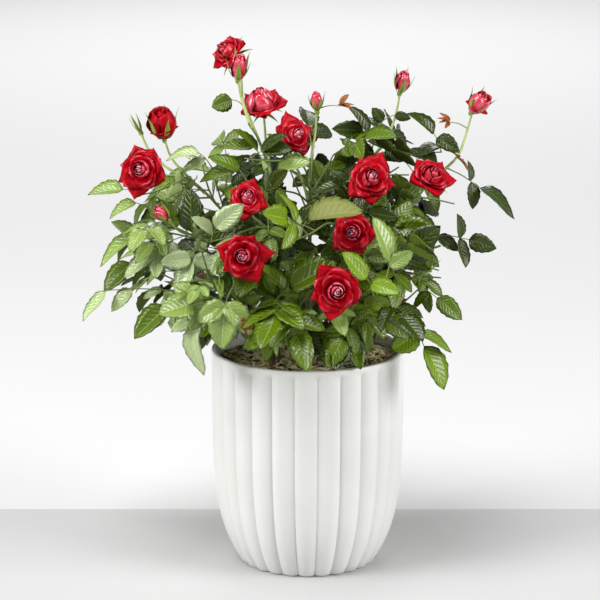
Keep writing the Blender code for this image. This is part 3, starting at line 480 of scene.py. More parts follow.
chips = {name: [] for name in BARK_COLOURS}
for _ in range(CHIPS):
    place, turn = strewn(soil_rng, CHIP_RISE)
    room_left = soil_reach - 1 * MM - math.hypot(place.x, place.y)
    half = min(soil_rng.uniform(*CHIP_HALF) * MM, room_left)
    kind = soil_rng.choices(list(chips), weights=BARK_SHARES)[0]
    matrix = Matrix.Translation(place) @ (turn * half).to_4x4()
    chips[kind].append(placed(soil_rng.choice(chip_shapes), matrix))
for (kind, parts), bark in zip(chips.items(), barks):
    piece = joined_piece(kind + "_chips", parts, [bark], sharp_from=25)
    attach(piece, "root")
    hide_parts("soil")

fibres = []
for _ in range(FIBRES):
    place, turn = strewn(soil_rng, FIBRE_RISE)
    half = min(soil_rng.uniform(*FIBRE_HALF) * MM, soil_reach - math.hypot(place.x, place.y))
    bend = soil_rng.uniform(-0.5, 0.5)
    curl = [Vector((s, bend * s * s, -0.25 * abs(s) * s * s)) for s in (-1, -0.5, 0, 0.5, 1)]
    line = [place + turn @ q * half for q in curl]
    thick = soil_rng.uniform(*FIBRE_RADIUS) * MM
    fibres.append((line, [thick * 0.4, thick, thick, thick, thick * 0.4]))
piece = finished_piece("bark_fibres", tube_bmesh(fibres, 0), [barks[0]], sharp_from=80)
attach(piece, "root")
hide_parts("soil")

# Canes
# Twenty thin green canes stand in the soil, each with a flared foot, and lean out to its own side. Each
# grows on as one line into its mass of leaves. The bark is green above and browner near the soil, with
# a slight swelling at each leaf node and a few thin prickles.

UP = Vector((0, 0, 1))
FRONT = Vector((0, -1, 0))
GOLDEN_ANGLE = math.radians(137.5)
CANE_STEPS = 24
CANE_RADIUS = 1.9 * MM
FORK_RADIUS = 1.4 * MM
# how thick a cane's tip is, as a share of its thickness at the fork
CANE_TIP = 0.60
ROOT_FLARE = 0.7
FLARE_HEIGHT = 7 * MM
CANE_RINGS = 2.5 * MM
NODE_SWELLING = 0.16
# rings of a cane from one node to the next
NODE_RINGS = 8
PRICKLES = 6
PRICKLE = 2.6 * MM
PRICKLE_ROOT = 0.75 * MM
PRICKLE_POINT = 0.05 * MM
# how far from the cane's middle a prickle starts
PRICKLE_SEAT = 0.9 * MM
# colours near the soil and high up, and the heights in metres between which one turns to the other
CANE_COLOURS = ((0.11, 0.075, 0.035), (0.13, 0.19, 0.045), 0.165, 0.26)
PRICKLE_COLOURS = ((0.22, 0.12, 0.07), (0.28, 0.22, 0.10), 0.165, 0.26)

# canes: azimuth from the front towards the right in degrees, reach of the foot, reach and height of
# the tip in mm, share of the way up to where the leaves begin, and side shoots
CANES = {
    "front_low": (-12, 34, 80, 236, 0.14, 5),
    "front_low_left": (-50, 36, 92, 232, 0.18, 4),
    "front_low_right": (34, 36, 86, 236, 0.16, 5),
    "front_left": (-34, 20, 60, 296, 0.34, 5),
    "front_right": (26, 20, 58, 300, 0.34, 5),
    "left_low": (-76, 30, 112, 238, 0.30, 3),
    "left_middle": (-66, 26, 104, 280, 0.38, 3),
    "left_high": (-84, 24, 106, 322, 0.44, 3),
    "left_top": (-78, 12, 48, 362, 0.42, 2),
    "middle": (10, 4, 10, 334, 0.40, 4),
    "right_top": (106, 14, 62, 338, 0.44, 3),
    "right_high": (88, 24, 108, 322, 0.44, 3),
    "right_middle": (68, 28, 112, 270, 0.36, 3),
    "right_low": (56, 36, 90, 218, 0.24, 3),
    "back_left": (-140, 26, 104, 290, 0.38, 3),
    "back_right": (140, 26, 104, 286, 0.38, 3),
    "back_top": (176, 14, 58, 326, 0.42, 4),
    "back_low": (178, 34, 98, 236, 0.26, 4),
    "left_back_low": (-112, 32, 112, 236, 0.30, 3),
    "right_back_low": (124, 33, 104, 234, 0.28, 4),
}


def polar(azimuth, reach, height):
    angle = math.radians(azimuth)
    return Vector((reach * math.sin(angle), -reach * math.cos(angle), height))


def facing(azimuth, height):
    rise = math.radians(height)
    return polar(azimuth, math.cos(rise), math.sin(rise))


def bezier(a, b, c, d, steps):
    shares = [i / steps for i in range(steps + 1)]
    return [a * (1 - t) ** 3 + b * 3 * (1 - t) ** 2 * t + c * 3 * (1 - t) * t * t + d * t**3 for t in shares]


def length_of(line):
    return sum((q - p).length for p, q in zip(line, line[1:]))


def along(line, share):
    """Place and direction at a share of a line's length."""
    left = share * length_of(line)
    for p, q in zip(line, line[1:]):
        step = (q - p).length
        if left <= step or q is line[-1]:
            return p.lerp(q, min(left / step, 1)), (q - p).normalized()
        left -= step


def dotted(line, spacing):
    count = max(2, int(length_of(line) / spacing))
    return [along(line, i / count)[0] for i in range(count + 1)]


def outward(p):
    flat = Vector((p.x, p.y, 0))
    return flat.normalized() if flat.length > 4 * MM else FRONT.copy()


def grow_canes():
    """Each cane is one smooth line, cut in two: the bare part and the part among the leaves."""
    bare, leafy = {}, {}
    for name, (azimuth, foot_reach, reach, height, fork, _) in CANES.items():
        foot = polar(azimuth, foot_reach, 0) * MM + UP * (SOIL_TOP + CLEAR)
        tip = polar(azimuth, reach, height) * MM
        rise = tip.z - foot.z
        bend = tip - outward(tip) * reach * MM * 0.3 - UP * rise * 0.05
        line = bezier(foot, foot + UP * rise * 0.45, bend, tip, CANE_STEPS)
        cut = round(CANE_STEPS * fork)
        start = line[cut] + (line[cut + 1] - line[cut]).normalized() * CLEAR
        bare[name] = line[: cut + 1]
        leafy[name] = [start] + line[cut + 4 : -2 : 5] + [tip]
    return bare, leafy


def smoothed(line, steps=4):
    """A smooth line through the places of a line."""
    ends = [line[0] * 2 - line[1], *line, line[-1] * 2 - line[-2]]
    fine = []
    for a, b, c, d in zip(ends, ends[1:], ends[2:], ends[3:]):
        for i in range(steps):
            t = i / steps
            bend = (a * 2 - b * 5 + c * 4 - d) * t * t
            twist = (b * 3 - a - c * 3 + d) * t**3
            fine.append((b * 2 + (c - a) * t + bend + twist) / 2)
    return [*fine, line[-1].copy()]


def side_of(way, turn):
    """A direction square to a way, at this turn round it."""
    return Matrix.Rotation(turn, 3, way) @ way.orthogonal().normalized()


def worked_out(material, operation, *values):
    """A maths node's result. Each value is a number or another node's output."""
    node = new_node(material, "ShaderNodeMath", operation=operation)
    for socket, value in zip(node.inputs, values):
        if isinstance(value, (int, float)):
            socket.default_value = value
        else:
            link(material, value, socket)
    return node.outputs["Value"]


def stem_bark(name, low_colour, high_colour, low, high):
    """Bark that turns from one colour to another with height, with fine streaks and pores."""
    material, shader = plain_material(name, high_colour, 0.5)
    place = new_node(material, "ShaderNodeTexCoord")
    parts = new_node(material, "ShaderNodeSeparateXYZ")
    link(material, place.outputs["Object"], parts.inputs["Vector"])
    height = new_node(material, "ShaderNodeMapRange")
    height.inputs["From Min"].default_value = low
    height.inputs["From Max"].default_value = high
    link(material, parts.outputs["Z"], height.inputs["Value"])
    streaks = speckle(material, 1.6 * MM, 5, 0.6)
    mixed = worked_out(material, "ADD", height.outputs["Result"], between(material, streaks, -0.35, 0.35))
    colour_by(material, shader, mixed, [(0.1, low_colour), (0.9, high_colour)])
    raise_by(material, shader, streaks, 0.15 * MM)
    return material


cane_bark = stem_bark("cane_bark", *CANE_COLOURS)
prickle_skin = stem_bark("prickle_skin", *PRICKLE_COLOURS)
bare, leafy = grow_canes()
cane_lines = {name: smoothed(bare[name][:-1] + leafy[name]) for name in CANES}
for name, line in cane_lines.items():
    cane_rng = random.Random(name + " bark")
    full = length_of(line)
    count = int(full / CANE_RINGS)
    places = [along(line, i / count)[0] for i in range(count + 1)]
    radii = []
    for place in places:
        risen = (place - line[0]).length
        flare = ROOT_FLARE * math.exp(-risen / (FLARE_HEIGHT / 3))
        thick = CANE_RADIUS * (1 + flare) + (FORK_RADIUS * CANE_TIP - CANE_RADIUS) * risen / full
        radii.append(thick * cane_rng.uniform(0.96, 1.05))
    for j in range(NODE_RINGS // 2, count - 2, NODE_RINGS):
        radii[j] *= 1 + NODE_SWELLING
    bm = tube_bmesh([(places, radii)], 4)
    for _ in range(PRICKLES):
        place, way = along(line, cane_rng.uniform(0.12, 0.9))
        point = (side_of(way, cane_rng.uniform(0, math.tau)) - way * 0.35).normalized()
        made = bmesh.ops.create_cone(
            bm, segments=5, radius1=PRICKLE_ROOT, radius2=PRICKLE_POINT, depth=PRICKLE, cap_ends=True
        )
        turn = point.to_track_quat("Z", "Y").to_matrix().to_4x4()
        rooted = Matrix.Translation(place + point * (PRICKLE / 2 + PRICKLE_SEAT)) @ turn
        bmesh.ops.transform(bm, matrix=rooted, verts=made["verts"])
        for face in {face for vert in made["verts"] for face in vert.link_faces}:
            face.material_index = 1
    piece = finished_piece("cane_" + name, bm, [cane_bark, prickle_skin], sharp_from=50)
    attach(piece, "root")
    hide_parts("stem_" + name, "foliage_" + name)

# Twigs and flower stalks
# Side shoots, long leafy shoots and the flowers' stalks all grow from the leafy part of one cane. They
# are thin, green and a little angled at their nodes, and the flower stalks are the palest.

SHOOT_RADIUS = 0.95 * MM
# how much of its thickness a twig loses by its tip
TWIG_TAPER = 0.35
# how thick a flower's stalk and any other twig are, for the shoot's usual thickness
STALK_THICKENING = 1.35
TWIG_THINNING = 0.92
# low and high colours and the heights between them, as on the canes
TWIG_COLOURS = ((0.10, 0.085, 0.03), (0.13, 0.20, 0.04), 0.19, 0.30)
FLOWER_STALK_COLOURS = ((0.20, 0.27, 0.06), (0.36, 0.46, 0.15), 0.24, 0.36)
# usual lengths of a flower's stalk, its bare neck and a long shoot, and the least and most of a side shoot
FLOWER_STALK = 55 * MM
BARE_NECK = 38 * MM
LONG_SHOOT = 45 * MM
SIDE_SHOOT = (28 * MM, 48 * MM)
TRIES = 5
# gaps kept round a shoot
SHOOT_TO_SHOOT = 12 * MM
SHOOT_TO_CANE = 6 * MM
# the lowest that a leaf hangs, and half the stretch of the rim's front that no leaf hides
LOWEST_LEAF = 160 * MM
OPEN_FRONT = 70 * MM
# where the front of the plant is looked at from, and its height in degrees above the plant
EYE = Vector((-6, -1882, 665)) * MM
VIEW_HEIGHT = 13.4
# the crown's outline as it looks from the front: height, and reach to the left and to the right in mm
CROWN_EDGE = (
    (156, -70, 70), (172, -74, 76), (176, -99, 104), (185, -118, 110), (200, -136, 112), (224, -156, 110),
    (249, -158, 111), (274, -152, 109), (298, -142, 108), (314, -126, 112), (339, -113, 113),
    (356, -105, 103), (369, -78, 85), (378, -70, 70),
)
# gaps in the crown through which the sky or the soil shows from the front: where they look to be against the
# middle, across and up, and their radius in mm
CROWN_GAPS = (
    (-47, 353, 6), (-30, 361, 6), (-50, 337, 4), (17, 341, 6), (-10, 303, 6), (-6, 324, 4), (7, 264, 3),
    (-80, 293, 4), (-82, 311, 4), (-100, 273, 6), (-113, 235, 4), (76, 322, 4), (84, 215, 6),
)
# places where the soil shows low in front, kept free only by the leaves nearer than the pot's middle
SOIL_WINDOWS = ((-59, 173, 6), (62, 179, 8), (3, 212, 5))
# depths in mm that a shown leaf is tried at, nearer and farther than wanted
DEPTH_STEPS = (0, -7, 7, -14, 14, -21, 21, -28, 28)
# how much nearer to the front each shown blade's tip is than the one before, and how high its stalk arches
TIP_FORWARD = 2.5 * MM
STALK_ARCH = 1.5 * MM
# cosine of the most that the blade at a stalk's end turns off the stalk's way
SHARPEST_TURN = 0.5

# flowers: cane, place of the middle and width in mm, share open, azimuth and height that it faces in
# degrees
FLOWERS = {
    "top_bloom": ("left_top", (-65, 15, 416), 34, 0.75, -50, 30),
    "top_bud": ("left_top", (-55, 0, 402), 20, 0.3, 10, 70),
    "pink_bloom": ("left_top", (-37, 5, 377), 36, 0.6, -20, 60),
    "centre_bloom": ("middle", (-9, -15, 354), 36, 0.85, 30, 25),
    "centre_bud": ("middle", (7, 5, 375), 15, 0.15, -10, 80),
    "left_half_open": ("left_high", (-115, 0, 356), 24, 0.45, -20, 75),
    "left_green_bud": ("left_high", (-135, 10, 355), 9, 0.0, -60, 65),
    "low_green_bud": ("front_low_left", (-67, -100, 248), 8, 0.0, -10, 60),
    "right_spent_bud": ("right_middle", (94, -60, 256), 10, 0.0, 40, 50),
    "left_bloom": ("left_high", (-130, -50, 332), 42, 1.0, -12, 12),
    "left_small_bud": ("left_middle", (-112, -60, 298), 15, 0.25, -50, 45),
    "inner_bloom": ("front_left", (-47, -60, 313), 34, 0.9, 10, 35),
    "front_left_bloom": ("front_left", (-50, -95, 273), 44, 1.0, -5, 12),
    "front_right_bloom": ("front_low_right", (22, -105, 248), 44, 1.0, 5, 8),
    "shaded_bloom": ("front_right", (34, -78, 288), 36, 0.9, -10, 15),
    "right_bloom": ("front_right", (49, -60, 328), 44, 1.0, 10, 28),
    "side_bloom": ("right_high", (97, -40, 326), 36, 0.8, 25, 45),
    "tall_bud": ("right_top", (75, 25, 387), 18, 0.25, 25, 65),
    "outer_bud": ("right_high", (134, 10, 373), 19, 0.4, 45, 50),
    "back_left_bloom": ("back_left", (-52, 124, 276), 36, 1.0, -150, 25),
    "back_left_bud": ("back_left", (-96, 104, 262), 17, 0.3, -140, 50),
    "back_right_bloom": ("back_right", (54, 116, 294), 42, 1.0, 150, 25),
    "back_top_bloom": ("back_top", (-9, 108, 333), 36, 0.9, 178, 35),
    "back_low_bloom": ("back_low", (26, 146, 204), 42, 1.0, 172, 10),
    "left_back_bloom": ("left_back_low", (-104, 104, 202), 40, 0.95, -135, 15),
    "right_back_bloom": ("right_back_low", (72, 118, 192), 36, 0.95, 140, 15),
}
# how far behind a flower's middle its stalk ends, as a share of its width
BEHIND_FLOWER = 0.30
flower_bases = {
    name: Vector(place) * MM - facing(azimuth, height) * width * MM * BEHIND_FLOWER
    for name, (_, place, width, _, azimuth, height) in FLOWERS.items()
}
# ends of the long shoots whose leaves make the furthest tips of the crown, in mm
LONG_SHOOTS = {
    "left_low": ((-104, -62, 214),),
    "left_high": ((-86, 4, 334),),
    "right_high": ((98, 12, 340),),
    "right_middle": ((104, -50, 246),),
    "right_top": ((72, -6, 326),),
    "middle": ((-14, 0, 322), (20, -8, 336)),
    "back_top": ((-30, 66, 322), (34, 68, 324)),
}
# leaves that show clearly from the front, in mm to the right and up as they look against the middle: cane,
# colour, depth, start and end of the stalk, and each blade's share of the stalk, tip and how wide it looks
# a shown leaf's colour is how light or deep it looks there: the palest hold painted light and painted sheen,
# and the deepest hold painted shade
SHOWN_LEAVES = {
    "arching": ("right_high", "deep", 5, (111, 324), (137, 308), (
        (0.7, (129, 330), 6), (0.72, (134, 291), 10), (1, (169, 289), 10),
    )),
    "reaching": ("right_middle", "deep", -25, (99, 269), (129, 266), (
        (0.15, (121, 257), 10), (0.78, (120, 287), 8), (0.75, (128, 243), 8), (1, (150, 259), 15),
    )),
    "lower_right": ("right_low", "middle", -45, (90, 226), (104, 218), (
        (0.45, (96, 205), 9), (0.5, (84, 210), 8), (1, (125, 201), 15),
    )),
    "hanging_right": ("right_low", "fresh", -50, (84, 198), (94, 178), (
        (0.5, (119, 178), 9), (0.45, (68, 174), 21), (1, (115, 143), 15),
    )),
    "top_right": ("right_top", "deep", 15, (106, 337), (100, 352), (
        (0.3, (88, 339), 7), (0.7, (120, 339), 12), (1, (82, 370), 11),
    )),
    "side_of_top": ("right_high", "deep", 5, (110, 321), (103, 329), ((1, (80, 342), 10),)),
    "high_right": ("right_top", "deep", 8, (63, 339), (44, 354), (
        (0.1, (78, 330), 13), (0.15, (47, 346), 7), (0.8, (32, 374), 10), (1, (21, 356), 15),
    )),
    "by_tall_bud": ("right_top", "deep", 25, (56, 359), (69, 367), (
        (0.3, (51, 372), 10), (1, (81, 364), 8),
    )),
    "by_top_bloom": ("left_top", "middle", 12, (-50, 373), (-60, 379), ((1, (-76, 373), 15),)),
    "above_middle": ("left_top", "middle", -8, (-37, 331), (-43, 341), (
        (0.6, (-59, 356), 7), (1, (-70, 344), 10),
    )),
    "behind_centre": ("middle", "deep", -12, (-46, 331), (-35, 338), (
        (0.8, (-17, 352), 7), (1, (-13, 341), 11),
    )),
    "pale_middle": ("middle", "light", -30, (-33, 311), (-25, 323), (
        (0.4, (-37, 331), 7), (1, (1, 332), 10),
    )),
    "left_of_middle": ("front_left", "middle", -25, (-49, 314), (-57, 324), (
        (0.7, (-76, 337), 11), (1, (-87, 316), 12),
    )),
    "pale_upper_left": ("left_high", "pale", -12, (-76, 324), (-86, 336), (
        (0.6, (-101, 321), 9), (1, (-113, 334), 10),
    )),
    "long_left": ("left_high", "light", -22, (-135, 302), (-147, 307), ((1, (-176, 306), 13),)),
    "left_arch": ("left_middle", "light", -40, (-123, 287), (-137, 296), (
        (0.3, (-126, 298), 6), (1, (-160, 286), 10),
    )),
    "left_fan": ("left_middle", "light", -42, (-128, 277), (-138, 268), (
        (0.9, (-157, 281), 11), (0.8, (-156, 250), 10), (1, (-170, 249), 12),
    )),
    "dark_left": ("left_low", "middle", -32, (-114, 236), (-142, 247), (
        (0.3, (-116, 256), 7), (0.5, (-138, 253), 11), (1, (-166, 225), 16),
    )),
    "low_left": ("left_low", "pale", -40, (-109, 224), (-163, 224), (
        (0.15, (-134, 220), 7), (0.6, (-160, 208), 12), (1, (-183, 199), 10),
    )),
    "under_left": ("front_low_left", "middle", -58, (-97, 220), (-114, 211), (
        (0.3, (-110, 206), 7), (1, (-141, 184), 19),
    )),
    "hanging_left": ("front_low_left", "pale", -74, (-89, 211), (-92, 195), (
        (0.6, (-111, 190), 11), (1, (-92, 152), 14),
    )),
    "pale_fan": ("front_low_left", "sheen_pale", -80, (-88, 266), (-93, 249), (
        (0.95, (-118, 248), 16), (0.95, (-69, 244), 15), (1, (-104, 214), 16),
    )),
    "dark_upper_left": ("left_middle", "deep", -52, (-87, 260), (-93, 272), ((1, (-94, 307), 21),)),
    "pale_centre_left": ("front_left", "sheen_pale", -60, (-78, 264), (-74, 275), (
        (0.5, (-89, 286), 8), (1, (-53, 294), 18),
    )),
    "khaki_arch": ("front_right", "khaki", -96, (-9, 266), (-1, 281), ((1, (42, 296), 13),)),
    "bright_centre": ("front_right", "light", -100, (63, 234), (67, 248), (
        (0.66, (84, 256), 13), (1, (56, 285), 16),
    )),
    "broad_low": ("front_low_left", "light", -88, (-61, 226), (-67, 212), (
        (0.9, (-90, 198), 17), (0.85, (-44, 188), 18), (1, (-70, 175), 24),
    )),
    "centre_broad": ("front_low", "middle", -80, (-27, 214), (-15, 226), (
        (0.8, (-38, 248), 13), (1, (23, 248), 21),
    )),
    "right_of_centre": ("front_low_right", "fresh", -92, (53, 220), (48, 234), (
        (0.6, (73, 224), 13), (1, (28, 256), 15),
    )),
    "low_middle": ("front_low", "fresh", -62, (-29, 201), (-33, 190), (
        (0.8, (-10, 180), 13), (0.85, (-52, 175), 15), (1, (-32, 164), 11),
    )),
    "low_centre": ("front_low", "fresh", -62, (11, 200), (13, 189), (
        (0.7, (-5, 162), 14), (0.75, (30, 169), 8), (1, (11, 162), 11),
    )),
    "low_right": ("front_low_right", "middle", -70, (36, 215), (37, 203), (
        (0.7, (23, 188), 10), (0.8, (67, 188), 10), (1, (51, 174), 18),
    )),
    "dark_right": ("right_middle", "deep", -58, (76, 241), (76, 253), (
        (0.5, (97, 243), 10), (1, (106, 277), 23),
    )),
    "upper_right_of_centre": ("front_right", "deep", -44, (40, 312), (28, 312), (
        (0.7, (18, 324), 8), (1, (3, 306), 11),
    )),
}


def clear_of_pot(points):
    """Nothing sinks into the pot or the soil, hangs low, or hides the rim along the front."""
    reach = np.hypot(points[:, 0], points[:, 1])
    height = points[:, 2]
    above = 3 * MM
    in_mouth = reach < RIM_RADIUS + RIM_WALL
    sunk = in_mouth & (height < SOIL_TOP + above)
    on_rim = in_mouth & (reach > RIM_RADIUS - RIM_WALL - BODY_WALL) & (height < POT_HEIGHT + above)
    front = (np.abs(points[:, 0]) < OPEN_FRONT) & (points[:, 1] < 0)
    past_rim = np.maximum(0, -points[:, 1] - RIM_RADIUS)
    hides_rim = height < POT_HEIGHT + 1 * MM + past_rim * math.tan(math.radians(VIEW_HEIGHT))
    return not (sunk | on_rim | front & hides_rim | (height < LOWEST_LEAF)).any()


def clear_of(seen, places):
    """Whether the points keep off round places, each given by where it is seen and its radius."""
    places = np.array(places) * MM
    away = np.hypot(seen[:, None, 0] - places[:, 0], seen[:, None, 2] - places[:, 1])
    return (away > places[:, 2]).all()


def inside_outline(points):
    """Leaves that aren't listed keep within the crown's outline and off its gaps, as seen in front."""
    eye = np.array(EYE)
    seen = eye + (points - eye) * (eye[1] / (eye[1] - points[:, 1]))[:, None]
    heights, lefts, rights = np.array(CROWN_EDGE).T * MM
    left = np.interp(seen[:, 2], heights, lefts)
    right = np.interp(seen[:, 2], heights, rights)
    level = (seen[:, 2] > heights[0]) & (seen[:, 2] < heights[-1])
    within = level & (seen[:, 0] > left) & (seen[:, 0] < right)
    near = seen[points[:, 1] < 0]
    return within.all() and clear_of(seen, CROWN_GAPS) and clear_of(near, SOIL_WINDOWS)


def placed_at(across, height, depth):
    """The place at this depth that looks from the front as if it were at the plant's middle."""
    return EYE + (Vector((across, 0, height)) * MM - EYE) * (1 - depth / EYE.y)


def gap_between(points, lines):
    """Least distance from the points to the lines."""
    starts = np.array([p for line in lines for p in line[:-1]])
    spans = np.array([q for line in lines for q in line[1:]]) - starts
    away = np.array(points)[:, None] - starts
    share = np.clip((away * spans).sum(-1) / (spans * spans).sum(-1), 0, 1)
    return np.linalg.norm(away - share[..., None] * spans, axis=-1).min()


def nearest_start(line, end, usual, first):
    """Of eight places up a cane, the one whose distance to a twig's end is nearest the usual, and lower."""
    starts = [along(line, first + 0.1 * i) for i in range(8)]
    return min(starts, key=lambda s: abs((end - s[0]).length - usual) + 0.4 * max(0, s[0].z - end.z))


def shoot_to(line, end):
    """A long shoot from a cane to an end."""
    p, way = nearest_start(line, end, LONG_SHOOT, 0.2)
    reach = (end - p).length
    there = (end - p).normalized()
    neck = end - (there + UP * 0.2) * reach * 0.3
    return bezier(p, p + (way + there) * reach * 0.2, neck, end, 3)


def grow_twigs(bare, leafy):
    """Each cane's twigs, as (line, radius, share where leaves start, share where they end)."""
    twigs = {name: [(line, FORK_RADIUS, 0.10, 1.0)] for name, line in leafy.items()}
    for flower, (name, _, _, _, azimuth, height) in FLOWERS.items():
        face = facing(azimuth, height)
        base = flower_bases[flower]
        p, way = nearest_start(leafy[name], base, FLOWER_STALK, 0.25)
        reach = (base - p).length
        neck = base - (face * 0.7 + UP * 0.5).normalized() * reach * 0.35
        stalk = bezier(p, p + way * reach * 0.4, neck, base, 3)
        twigs[name].append((stalk, SHOOT_RADIUS, 0.12, max(0.35, 1 - BARE_NECK / length_of(stalk))))
    for name, ends in LONG_SHOOTS.items():
        for end in ends:
            twigs[name].append((shoot_to(leafy[name], Vector(end) * MM), SHOOT_RADIUS, 0.30, 1.0))
    for name, _, depth, start, _, _ in SHOWN_LEAVES.values():
        ends = [placed_at(*start, (depth + step) * MM) for step in DEPTH_STEPS]
        shoots = [shoot_to(leafy[name], end) for end in ends]
        others = [twig[0] for other in CANES if other != name for twig in twigs[other]] + list(bare.values())
        shoot = max(shoots, key=lambda line: min(gap_between(line[1:], others), SHOOT_TO_CANE))
        twigs[name].append((shoot, SHOOT_RADIUS, 0.30, 0.75))
    for name in CANES:
        grow_side_shoots(name, bare, leafy[name], twigs)
    return twigs


def grow_side_shoots(name, bare, line, twigs):
    """Seeded shoots round a cane, each kept clear of every other cane and its twigs."""
    rng = random.Random(name)
    turn = rng.uniform(0, math.tau)
    count = CANES[name][5]
    for i in range(count):
        p, way = along(line, 0.12 + 0.72 * i / count)
        for _ in range(TRIES):
            turn += GOLDEN_ANGLE
            there = (side_of(way, turn) + way * 0.35 + outward(p) * 0.55 + UP * 0.15).normalized()
            reach = rng.uniform(*SIDE_SHOOT)
            end = p + there * reach
            neck = end - (there + UP * 0.3).normalized() * reach * 0.3
            shoot = bezier(p, p + (there + way).normalized() * reach * 0.33, neck, end, 2)
            others = [twig[0] for other in CANES if other != name for twig in twigs[other]]
            free = gap_between(shoot[1:], others) > SHOOT_TO_SHOOT
            free = free and gap_between(shoot[1:], bare.values()) > SHOOT_TO_CANE
            if free and clear_of_pot(np.array(shoot[1:])):
                twigs[name].append((shoot, SHOOT_RADIUS, 0.30, 1.0))
                break


twig_skin = stem_bark("twig_skin", *TWIG_COLOURS)
stalk_skin = stem_bark("flower_stalk_skin", *FLOWER_STALK_COLOURS)
twigs = grow_twigs(bare, leafy)


def holds_flower(line):
    return any((line[-1] - base).length < 0.01 * MM for base in flower_bases.values())


green_twigs, flower_stalks, fine_lines = [], [], {}
for name in CANES:
    fine_lines[name] = [smoothed(line) for line, _, _, _ in twigs[name]]
    for (line, radius, _, _), fine in zip(twigs[name][1:], fine_lines[name][1:]):
        count = len(fine) - 1
        thick = STALK_THICKENING if holds_flower(line) else TWIG_THINNING
        radii = [radius * (1 - TWIG_TAPER * i / count) * thick for i in range(count + 1)]
        (flower_stalks if holds_flower(line) else green_twigs).append((fine, radii))

for name, lines, skin in (("twigs", green_twigs, twig_skin), ("flower_stalks", flower_stalks, stalk_skin)):
    piece = finished_piece(name, tube_bmesh(lines, 2), [skin], sharp_from=60)
    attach(piece, "root")
    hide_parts(*["foliage_" + cane for cane in CANES])

# Leaves
# Each leaf is a thin stalk with three or five blades. A blade is oval, folded a little along its pale
# middle rib, finely toothed and pointed, glossy above and paler and duller below. Leaves of the left
# and the front get paler colours, as painted light and painted sheen, and those of the right and the
# back get deep ones, as painted shade. The tone also differs at random, and a few young ones are bronze.

NODE_SPACING = 29 * MM
LEAF_STALK = (26 * MM, 38 * MM)
LEAF_LENGTH = 30 * MM
LEAF_WIDTH = 0.59
# leaves at the middle of the front are this much larger, and it wears off over these distances
FRONT_GROWTH = 0.08
FRONT_DEPTH = 90 * MM
FRONT_HALF_WIDTH = 110 * MM
# where a blade is widest, as a share of its length from the root
WIDEST = 0.38
# pairs of blades on leaves of five and of three, by place on the stalk and size, and the blade at the end
PAIRS_OF_FIVE = ((0.45, 0.82), (0.80, 0.96))
PAIRS_OF_THREE = ((0.68, 0.92),)
END_BLADE = (1.0, 0, 1.12)
# share of leaves with five blades, first and finer ones
FIVES = 0.6
FINER_FIVES = 0.5
# degrees that a pair's blades stand off the stalk, and how far to each side of their place on it
PAIR_ANGLE = (50, 66)
PAIR_OFFSET = 0.8 * MM
# how much further round its twig each next try at a leaf goes
TRY_TURN = 0.9
FINER_TRY_TURN = 1.1
# gaps kept round a blade and a leaf's stalk
BLADE_TO_WOOD = 0.6 * MM
BLADE_TO_OWN_TWIG = 0.2 * MM
STALK_TO_WOOD = 1.4 * MM
STALK_TO_BLADE = 1.2 * MM
LEAF_TO_FLOWER = 2 * MM
# canes and twigs are tested as dots this far apart, and a cane as this thick
DOT_SPACING = 1.5 * MM
CANE_ROOM = 2.4 * MM
# no leaf lies this close before a flower, or between the front and a flower less far behind the middle
# than this
BEFORE_FLOWER = 40 * MM
CROWN_DEPTH = 200 * MM
BEHIND_MIDDLE = 30 * MM
# nearer than this to where its stalk starts, a leaf may touch its own twig
OWN_ROOT = 8 * MM
SEEN_FROM = np.array(facing(0, VIEW_HEIGHT))
# corners of a blade's room as shares of its length, width and thickness, and its eight faces
BLADE_CORNERS = (
    (0, 0, 0), (1, 0, 0), (WIDEST, 0.5, 0), (WIDEST, -0.5, 0), (WIDEST, 0, 0.8), (WIDEST, 0, -0.2),
)
BLADE_FACES = ((0, 2, 4), (2, 1, 4), (1, 3, 4), (3, 0, 4), (2, 0, 5), (1, 2, 5), (3, 1, 5), (0, 3, 5))
# places on a blade for the tests against the pot and the flowers, as shares of its length and width
HALF_WIDTHS = ((0.2, 0.34), (0.4, 0.5), (0.6, 0.42), (0.8, 0.24))
BLADE_PLACES = [(0, 0), (1, 0)] + [(s, w * side) for s, w in HALF_WIDTHS for side in (-1, -0.4, 0.4, 1)]
LEAF_ROWS = 10
BLADE_THICKNESS = 0.009
STALK_THICKNESS = 0.52 * MM
# a leaf stalk is this much thicker at its foot, and its colours go as the canes' do
STALK_FOOT = 1.5
LEAF_STALK_COLOURS = ((0.13, 0.17, 0.04), (0.21, 0.27, 0.08), 0.19, 0.34)
# finer leaves are grown once for each of these: their spacing along a twig and their share of the size
FINER_PASSES = ((18 * MM, 0.85), (12 * MM, 0.68))
FINER_TRIES = 6


def shaken(rng, amount):
    return Vector([rng.uniform(-amount, amount) for _ in range(3)])


def limited(share):
    return min(max(share, 0), 1)


def to_light(p):
    """Leaves turn up and away from the middle, and those of the front half turn to the front too."""
    forward = min(max(0.35 - p.y / 0.10, 0), 0.75)
    return UP * 0.55 + outward(p) * 0.55 + FRONT * forward


def blade_places(root, lead, normal, length, width):
    across = lead.cross(normal)
    return [root + lead * length * s + across * width * w for s, w in BLADE_PLACES]


def roomy_blades(blades):
    """The blades as one tree, a little larger and thicker than life, so that what misses it is clear."""
    points, faces = [], []
    for root, lead, normal, length, width in blades:
        across = lead.cross(normal)
        faces += [[i + len(points) for i in face] for face in BLADE_FACES]
        points += [
            root + lead * length * 1.02 * s + across * width * 1.04 * w + normal * 2.2 * MM * h
            for s, w, h in BLADE_CORNERS
        ]
    return BVHTree.FromPolygons(points, faces)


